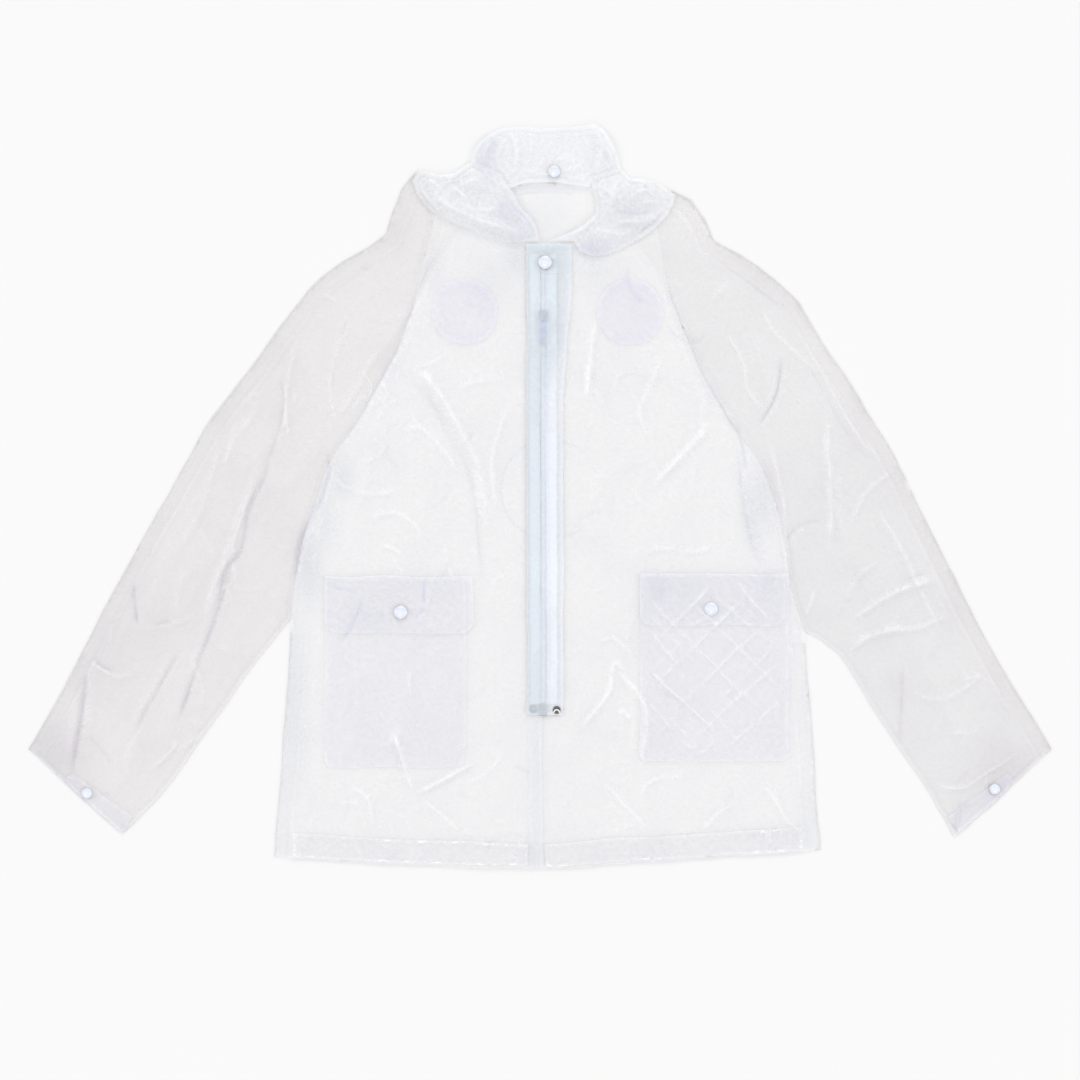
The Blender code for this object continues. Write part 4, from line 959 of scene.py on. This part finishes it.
FLAP_EDGE_X = -16.0
WASH_SHIFT, WASH_LOW, WASH_RISE = 24.0, 110.0, 90.0  # the flap's colour runs right across near its top
# What some films have besides their look
EXTRAS = {
    "hood_film": {"bands": (("edge_mm", 2.0, 6.0, 0.15),)},
    # the hem has painted glints along its edges
    "hem_film": {"glints": 0.65},
    "flap_film": {
        "bands": (("across_mm", 15.0, 1.0, 0.3), ("across_mm", 27.0, 1.0, 0.3)),
        "wash": ("wash_mm", 13.0, 32.0, (0.73, 0.745, 0.80)),
    },
}
# Where the crown's cloth runs on into the sides: node, x, y, reach, and how far it is drawn over
PULLS = (
    ("hood_right", -60, 388, 42, 3.0, 6.0),
    ("hood_right", -36, 362, 26, 3.0, 5.0),
    ("hood_crown", -60, 390, 40, -3.0, -5.0),
    ("hood_crown", -40, 374, 22, -4.0, -4.0),
    ("hood_left", 82, 384, 40, -2.0, 6.0),
    ("hood_left", 66, 368, 24, -4.0, 4.0),
    ("hood_crown", 82, 388, 40, 2.0, -5.0),
)
INNER_SHARE = 0.42  # how high a hood's hidden layer lies, as a share of the hood's height
INNER_INSET = 6.0
FOLD_OVER = 16.0  # cut width of a strip that folds over, beyond what lies in the outline
UNDERSIDE, STRIP_LEVEL, FLAT_LEVEL = 0.2, 2.0, 0.3  # heights of a back's CAD underside, strips and film
ROLL_OUT = 0.8

# CAD node, look, relief and what it rests on, of each piece that is one sheet
PIECES = (
    ("front_right", "film", "top", "back"),
    ("front_left", "film", "top", "back"),
    ("sleeve_front_right", "sleeve_film", "top", "sleeve_back_right"),
    ("sleeve_front_left", "left_sleeve_film", "top", "sleeve_back_left"),
    ("pocket_right", "lilac_film", "pocket_right", "front_right"),
    ("pocket_flap_right", "lilac_film", "pocket_right", "pocket_right"),
    ("pocket_left", "lilac_film", "pocket_left", "front_left"),
    ("pocket_flap_left", "lilac_film", "pocket_left", "pocket_left"),
    ("round_patch_right", "patch_film", "top", "front_right"),
    ("round_patch_left", "patch_film", "top", "front_left"),
    ("hem_front_right", "hem_film", "top", "front_right"),
    ("hem_front_left", "hem_film", "top", "front_left"),
    ("hem_back", "back_film", "level", "back"),
    ("front_lap", "lap_film", "lap", "front_right"),
    ("neck_tab", "tab_film", "flap", "storm_flap"),
    ("cuff_tab_right", "lilac_film", "top", "sleeve_front_right"),
    ("cuff_tab_left", "lilac_film", "top", "sleeve_front_left"),
    ("neck_band", "lilac_film", "level", "back"),
    ("storm_flap", "flap_film", "flap", "front_left"),
    ("zip_tape_right", "zip_tape", "level", "front_right"),
    ("zip_tape_left", "zip_tape", "level", "front_left"),
)
# Pieces with wider spacing of points, and the slot of each look
BROAD = ("front_right", "front_left", "sleeve_front_right", "sleeve_front_left")
SLOTS = {look: "film" for look in LOOKS}
SLOTS.update(lilac_film="lilac_film", patch_film="lilac_film")
SLOTS.update({look: "blue_film" for look in ("lap_film", "tab_film", "flap_film", "zip_tape")})


def film_on(node, relief, pitch):
    """(vertices, triangles, attributes) of a sheet on a CAD node's outer face."""
    vertices, faces = picked_faces(node, facing_up)
    ring = divided(outlines(vertices, faces)[0], pitch)
    plan, triangles = triangulated(ring, pitch, relief.rows())
    base = relaxed(ray_heights(vertices, faces, plan), triangles, 2)
    height = base - WALL / 2 + relief.at(plan)
    attributes = {"edge_mm": edge_distance(ring, plan), **relief.marks(plan)}
    return np.column_stack([plan, height]), triangles, attributes


def one_sheet(node, look, relief, rests_on, looks):
    vertices, triangles, attributes = film_on(node, relief, PITCH if node in BROAD else FINE_PITCH)
    attributes = shaded(attributes, LOOKS[look].relief if look in LOOKS else 0.0)
    across = vertices[:, 0] - FLAP_EDGE_X
    attributes["across_mm"] = across
    attributes["wash_mm"] = across - WASH_SHIFT * smoothstep((vertices[:, 1] - WASH_LOW) / WASH_RISE)
    vertices[:, :2] = waver(vertices[:, :2])
    about = (rests_on,), SLOTS[look], (node,)
    new_sheet(f"{node}_film", vertices, triangles, looks[look], attributes, *about)


def pulled(plan, node):
    """Points of a hood piece, drawn over to the piece that its cloth runs on into."""
    plan = plan.copy()
    for pulled_node, x, y, reach, *shift in PULLS:
        if pulled_node == node:
            away = np.hypot(plan[:, 0] - x, plan[:, 1] - y) / reach
            plan += smoothstep(1 - away)[:, None] * np.array(shift)
    return plan


def hood_piece(node, looks, relief, rests_on):
    """A crumpled hood piece: the sheet that shows, and one of the layers hidden under it."""
    vertices, triangles, attributes = film_on(node, relief, FINE_PITCH)
    attributes = shaded(attributes, LOOKS["hood_film"].relief)
    inner = vertices * (1, 1, INNER_SHARE)
    inner[:, 2] += 0.5 * relief.at(vertices[:, :2] * (1, -1) + (0, 700)) + 0.4
    within = (attributes["edge_mm"] > INNER_INSET)[triangles].all(axis=1)
    kept, numbers = np.unique(triangles[within], return_inverse=True)
    hidden = {key: values[kept] for key, values in attributes.items()}
    hidden["edge_mm"] = np.maximum(hidden["edge_mm"] - INNER_INSET, 0)
    for name, points, faces, marks, nodes in (
        (f"{node}_film", vertices, triangles, attributes, (node,)),
        (f"{node}_inner_film", inner[kept], numbers.reshape(-1, 3), hidden, ()),
    ):
        points[:, :2] = waver(pulled(points[:, :2], node))
        new_sheet(name, points, faces, looks["hood_film"], marks, rests_on, "film", nodes)


def folded_piece(node, relief, look, looks):
    """A back piece: flat film, and the strips that fold over at its long edges, round the fold."""
    low, low_faces = picked_faces(node, lambda normal, centre: normal.z < -0.5 and centre.z < UNDERSIDE)
    ring = divided(outlines(low, low_faces)[0][::-1], BACK_PITCH)
    plan, triangles = triangulated(ring, BACK_PITCH)
    sheets = [(np.column_stack([plan, FLAT_LEVEL + relief.at(plan)]), triangles)]
    edges = [edge_distance(ring, plan)]
    top, top_faces = picked_faces(node, lambda normal, centre: normal.z > 0.5 and centre.z > STRIP_LEVEL)
    for strip in outlines(top, top_faces):
        strip = divided(strip, BACK_PITCH)
        points, faces = triangulated(strip, BACK_PITCH)
        height = STRIP_LEVEL + 0.25 * crumple(points[:, 0], points[:, 1], 37, 60, 2.0)
        sheets.append((np.column_stack([points, height]), faces))
        edges.append(edge_distance(strip, points))
    starts = np.cumsum([0] + [len(v) for v, _ in sheets])
    vertices = np.vstack([v for v, _ in sheets])
    faces = np.vstack([f + start for (_, f), start in zip(sheets, starts)])
    rolls, joins = roll_over(vertices, starts, sheets, ring)
    vertices = np.vstack([vertices, rolls])
    faces = np.vstack([faces, joins])
    attributes = {"edge_mm": np.concatenate([*edges, np.full(len(rolls), 9.0)])}
    attributes.update(relief.marks(vertices[:, :2]))
    # painted light: the film that rolls over the edge is painted lighter
    attributes["tint"][-len(rolls) :] -= 0.5
    attributes = shaded(attributes, LOOKS[look].relief)
    vertices[:, :2] = waver(vertices[:, :2])
    about = (), "film", (node,), 2 * FOLD_OVER
    new_sheet(f"{node}_film", vertices, faces, looks[look], attributes, *about)


def plan_key(point):
    return tuple(round(float(c), 1) for c in point[:2])


def roll_over(vertices, starts, sheets, ring):
    """(points, faces) that join each strip to the flat film along the edge that they share."""
    number = {plan_key(p): i for i, p in enumerate(sheets[0][0])}
    order = {plan_key(p): i for i, p in enumerate(ring)}
    added, joined = [], []
    for (points, _), start in zip(sheets[1:], starts[1:]):
        shared = {order[plan_key(p)]: start + i for i, p in enumerate(points) if plan_key(p) in order}
        middle = {}
        for i, upper in shared.items():
            way = ring[(i + 1) % len(ring)] - ring[i - 1]
            way /= max(np.linalg.norm(way), 1e-9)
            lower = number[plan_key(ring[i])]
            middle[i] = len(vertices) + len(added)
            height = (vertices[lower][2] + vertices[upper][2]) / 2
            added.append([ring[i][0] + ROLL_OUT * way[1], ring[i][1] - ROLL_OUT * way[0], height])
        for i in shared:
            j = (i + 1) % len(ring)
            if j in shared:
                a, b = number[plan_key(ring[i])], number[plan_key(ring[j])]
                joined += [(b, a, middle[i]), (b, middle[i], middle[j])]
                joined += [(middle[j], middle[i], shared[i]), (middle[j], shared[i], shared[j])]
    return np.array(added).reshape(-1, 3), np.array(joined, int).reshape(-1, 3)


# Hard parts

TOOTH_PITCH = 1.8
Tooth = namedtuple("Tooth", "reach neck tip width low high bevel")
TOOTH = Tooth(2.9, 0.9, 0.6, 1.25, 2.9, 4.9, 0.3)
SIDES = 6  # corners of a tooth in plan
SMOOTHING = 0.35  # bevel of the studs, rivets, slider and pull

# Material, colour, another one in patches, and roughness of plastic parts
PLASTICS = {
    "zip_chain": ("zip_tooth_plastic", (0.66, 0.68, 0.80), (0.72, 0.74, 0.85), 0.4),
    "zip_pull": ("zip_plastic", (0.20, 0.22, 0.42), (0.28, 0.30, 0.52), 0.3),
    "zip_slider": ("zip_slider_plastic", (0.13, 0.15, 0.24), (0.20, 0.22, 0.34), 0.3),
    "zip_box": ("zip_box_plastic", (0.03, 0.035, 0.04), (0.22, 0.23, 0.25), 0.35),
}
# How far below its middle a rivet's ring lies, the ring's radius, both colours and roughness. On rivet_left
# the ring is a painted highlight, a white crescent on black; on rivet_right it is painted shade in its
# groove.
RIVETS = {
    "rivet_left": (3.2, 3.4, (0.01, 0.01, 0.01), (0.95, 0.95, 0.95), 0.2),
    "rivet_right": (0.0, 2.2, (0.03, 0.04, 0.04), (0.005, 0.008, 0.008), 0.4),
}
STUD = ((0.56, 0.585, 0.645), (0.50, 0.53, 0.61), 0.15)  # its colour, the colour of the painted shade in its groove, and its roughness
STUD_GROOVE = 0.66  # its radius as a share of the stud's


def zip_teeth():
    """Two rows of moulded teeth that mesh with each other, in place of the plain chain."""
    corners = corners_of(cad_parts["zip_chain"])
    low, high = corners.min(axis=0), corners.max(axis=0)
    middle = (low[0] + high[0]) / 2
    vertices, faces = [], []
    for k, y in enumerate(np.arange(low[1] + 1, high[1] - 1, TOOTH_PITCH / 2)):
        side = 1 if k % 2 else -1
        start = len(vertices)
        for z, inset in ((TOOTH.low, 0), (TOOTH.high - TOOTH.bevel, 0), (TOOTH.high, TOOTH.bevel)):
            outer, tip = middle + side * (TOOTH.reach - inset), middle - side * (TOOTH.tip - inset)
            half, narrow = TOOTH.width / 2 - inset, TOOTH.width / 3 - inset / 2
            neck = middle + side * TOOTH.neck
            section = [(outer, -half), (outer, half), (neck, half)]
            section += [(tip, narrow), (tip, -narrow), (neck, -half)]
            vertices += [(x, y + dy, z) for x, dy in section]
        for level in (start, start + SIDES):
            for i in range(SIDES):
                j = (i + 1) % SIDES
                face = [level + i, level + j, level + SIDES + j, level + SIDES + i]
                faces.append(face[::-side])
        faces.append([start + 2 * SIDES + i for i in range(SIDES)][::-side])
        faces.append([start + i for i in range(SIDES)][::side])
    material = plastic_material(*PLASTICS["zip_chain"])
    thing = new_object("zip_teeth", vertices, faces, material, smooth=False)
    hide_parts("zip_chain")


def shade_smooth():
    """A node group that smooths the shading of what goes through it."""
    group = bpy.data.node_groups.new("smooth_shading", "GeometryNodeTree")
    group.interface.new_socket("Geometry", in_out="INPUT", socket_type="NodeSocketGeometry")
    group.interface.new_socket("Geometry", in_out="OUTPUT", socket_type="NodeSocketGeometry")
    first, smooth, last = (
        group.nodes.new(kind) for kind in ("NodeGroupInput", "GeometryNodeSetShadeSmooth", "NodeGroupOutput")
    )
    group.links.new(first.outputs[0], smooth.inputs["Geometry"])
    group.links.new(smooth.outputs[0], last.inputs[0])
    return group


def dress(thing, material, smoothing):
    """Gives a CAD part its material, and rounds its edges."""
    thing.data.materials.clear()
    thing.data.materials.append(material)
    weld = thing.modifiers.new("weld", "WELD")
    weld.merge_threshold = 0.01 * MM
    bevel = thing.modifiers.new("bevel", "BEVEL")
    bevel.width = SMOOTHING * MM
    bevel.segments = 3
    bevel.limit_method = "ANGLE"
    bevel.angle_limit = math.radians(30)
    shading = thing.modifiers.new("smooth", "NODES")
    shading.node_group = smoothing


def hardware():
    zip_teeth()
    smoothing = shade_smooth()
    for name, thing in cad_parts.items():
        corners = corners_of(thing)
        x, y = ((corners.min(axis=0) + corners.max(axis=0)) / 2)[:2]
        radius = np.ptp(corners[:, 0]) / 2
        if name.startswith("snap_"):
            dress(thing, ringed_material(name, x, y, STUD_GROOVE * radius, *STUD), smoothing)
        elif name in RIVETS:
            below, groove, *look = RIVETS[name]
            dress(thing, ringed_material(name, x, y - below, groove, *look), smoothing)
        elif name in PLASTICS and name != "zip_chain":
            dress(thing, plastic_material(*PLASTICS[name]), smoothing)


# Surroundings

FLOOR_SIDE = 9000.0
FLOOR_DROP = 0.4
CAMERA_HEIGHT = 3200.0
SENSOR = 36.0
VIEW_SIDE = 1296.0  # width of floor in view
VIEW_CENTRE = (0.0, -53.4)
LIGHT_SPREAD = 30
# Name, azimuth, angle from the vertical and strength
LIGHTS = (
    ("softbox_head", 80, 42, 1.5),
    ("softbox_right", -8, 50, 1.2),
    ("softbox_left", 172, 50, 1.2),
    ("softbox_foot", 262, 55, 0.75),
)
WORLD_LIGHT = 0.62


def floor():
    half = FLOOR_SIDE / 2 * MM
    corners = [(x * half, y * half, -FLOOR_DROP * MM) for x, y in ((-1, -1), (1, -1), (1, 1), (-1, 1))]
    mesh = bpy.data.meshes.new("floor")
    mesh.from_pydata(corners, [], [(0, 1, 2, 3)])
    s = Shader("floor_paper")
    s.set(Base_Color=s.blend(s.noise(400, 2, 9), (0.595, 0.595, 0.595), (0.60, 0.60, 0.60)))
    s.set(Roughness=0.9, Specular_IOR_Level=0.0)
    mesh.materials.append(s.material)
    placed("floor", mesh)


def lights():
    world = bpy.data.worlds.new("studio")
    world.use_nodes = True
    background = world.node_tree.nodes["Background"]
    background.inputs["Color"].default_value = (1, 1, 1, 1)
    background.inputs["Strength"].default_value = WORLD_LIGHT
    bpy.context.scene.world = world
    for name, azimuth, from_vertical, strength in LIGHTS:
        data = bpy.data.lights.new(name, "SUN")
        data.energy = strength
        data.angle = math.radians(LIGHT_SPREAD)
        placed(name, data).rotation_euler = (0, math.radians(from_vertical), math.radians(azimuth))


def camera():
    data = bpy.data.cameras.new("camera")
    data.sensor_width = SENSOR
    data.lens = SENSOR * CAMERA_HEIGHT / VIEW_SIDE
    eye = placed("camera", data)
    eye.location = (VIEW_CENTRE[0] * MM, VIEW_CENTRE[1] * MM, CAMERA_HEIGHT * MM)
    bpy.context.scene.camera = eye


def main():
    relief = reliefs()
    looks = {name: film_material(name, look, **EXTRAS.get(name, {})) for name, look in LOOKS.items()}
    looks["zip_tape"] = tape_material()
    for node, look, layer, rests_on in PIECES:
        one_sheet(node, look, relief[layer], rests_on, looks)
    for node, rests_on in (
        ("hood_right", ("front_right", "sleeve_front_right")),
        ("hood_left", ("front_left", "sleeve_front_left")),
        ("hood_crown", ()),
    ):
        hood_piece(node, looks, relief[node], rests_on)
    folded_piece("back", relief["back"], "back_film", looks)
    for node in ("sleeve_back_right", "sleeve_back_left"):
        folded_piece(node, relief["back"], "sleeve_back_film", looks)
    hardware()
    floor()
    lights()
    camera()
    bpy.context.scene.view_settings.view_transform = "Standard"
    cycles = bpy.context.scene.cycles
    cycles.transparent_max_bounces = 20
    cycles.max_bounces, cycles.diffuse_bounces, cycles.glossy_bounces = 3, 2, 1


main()
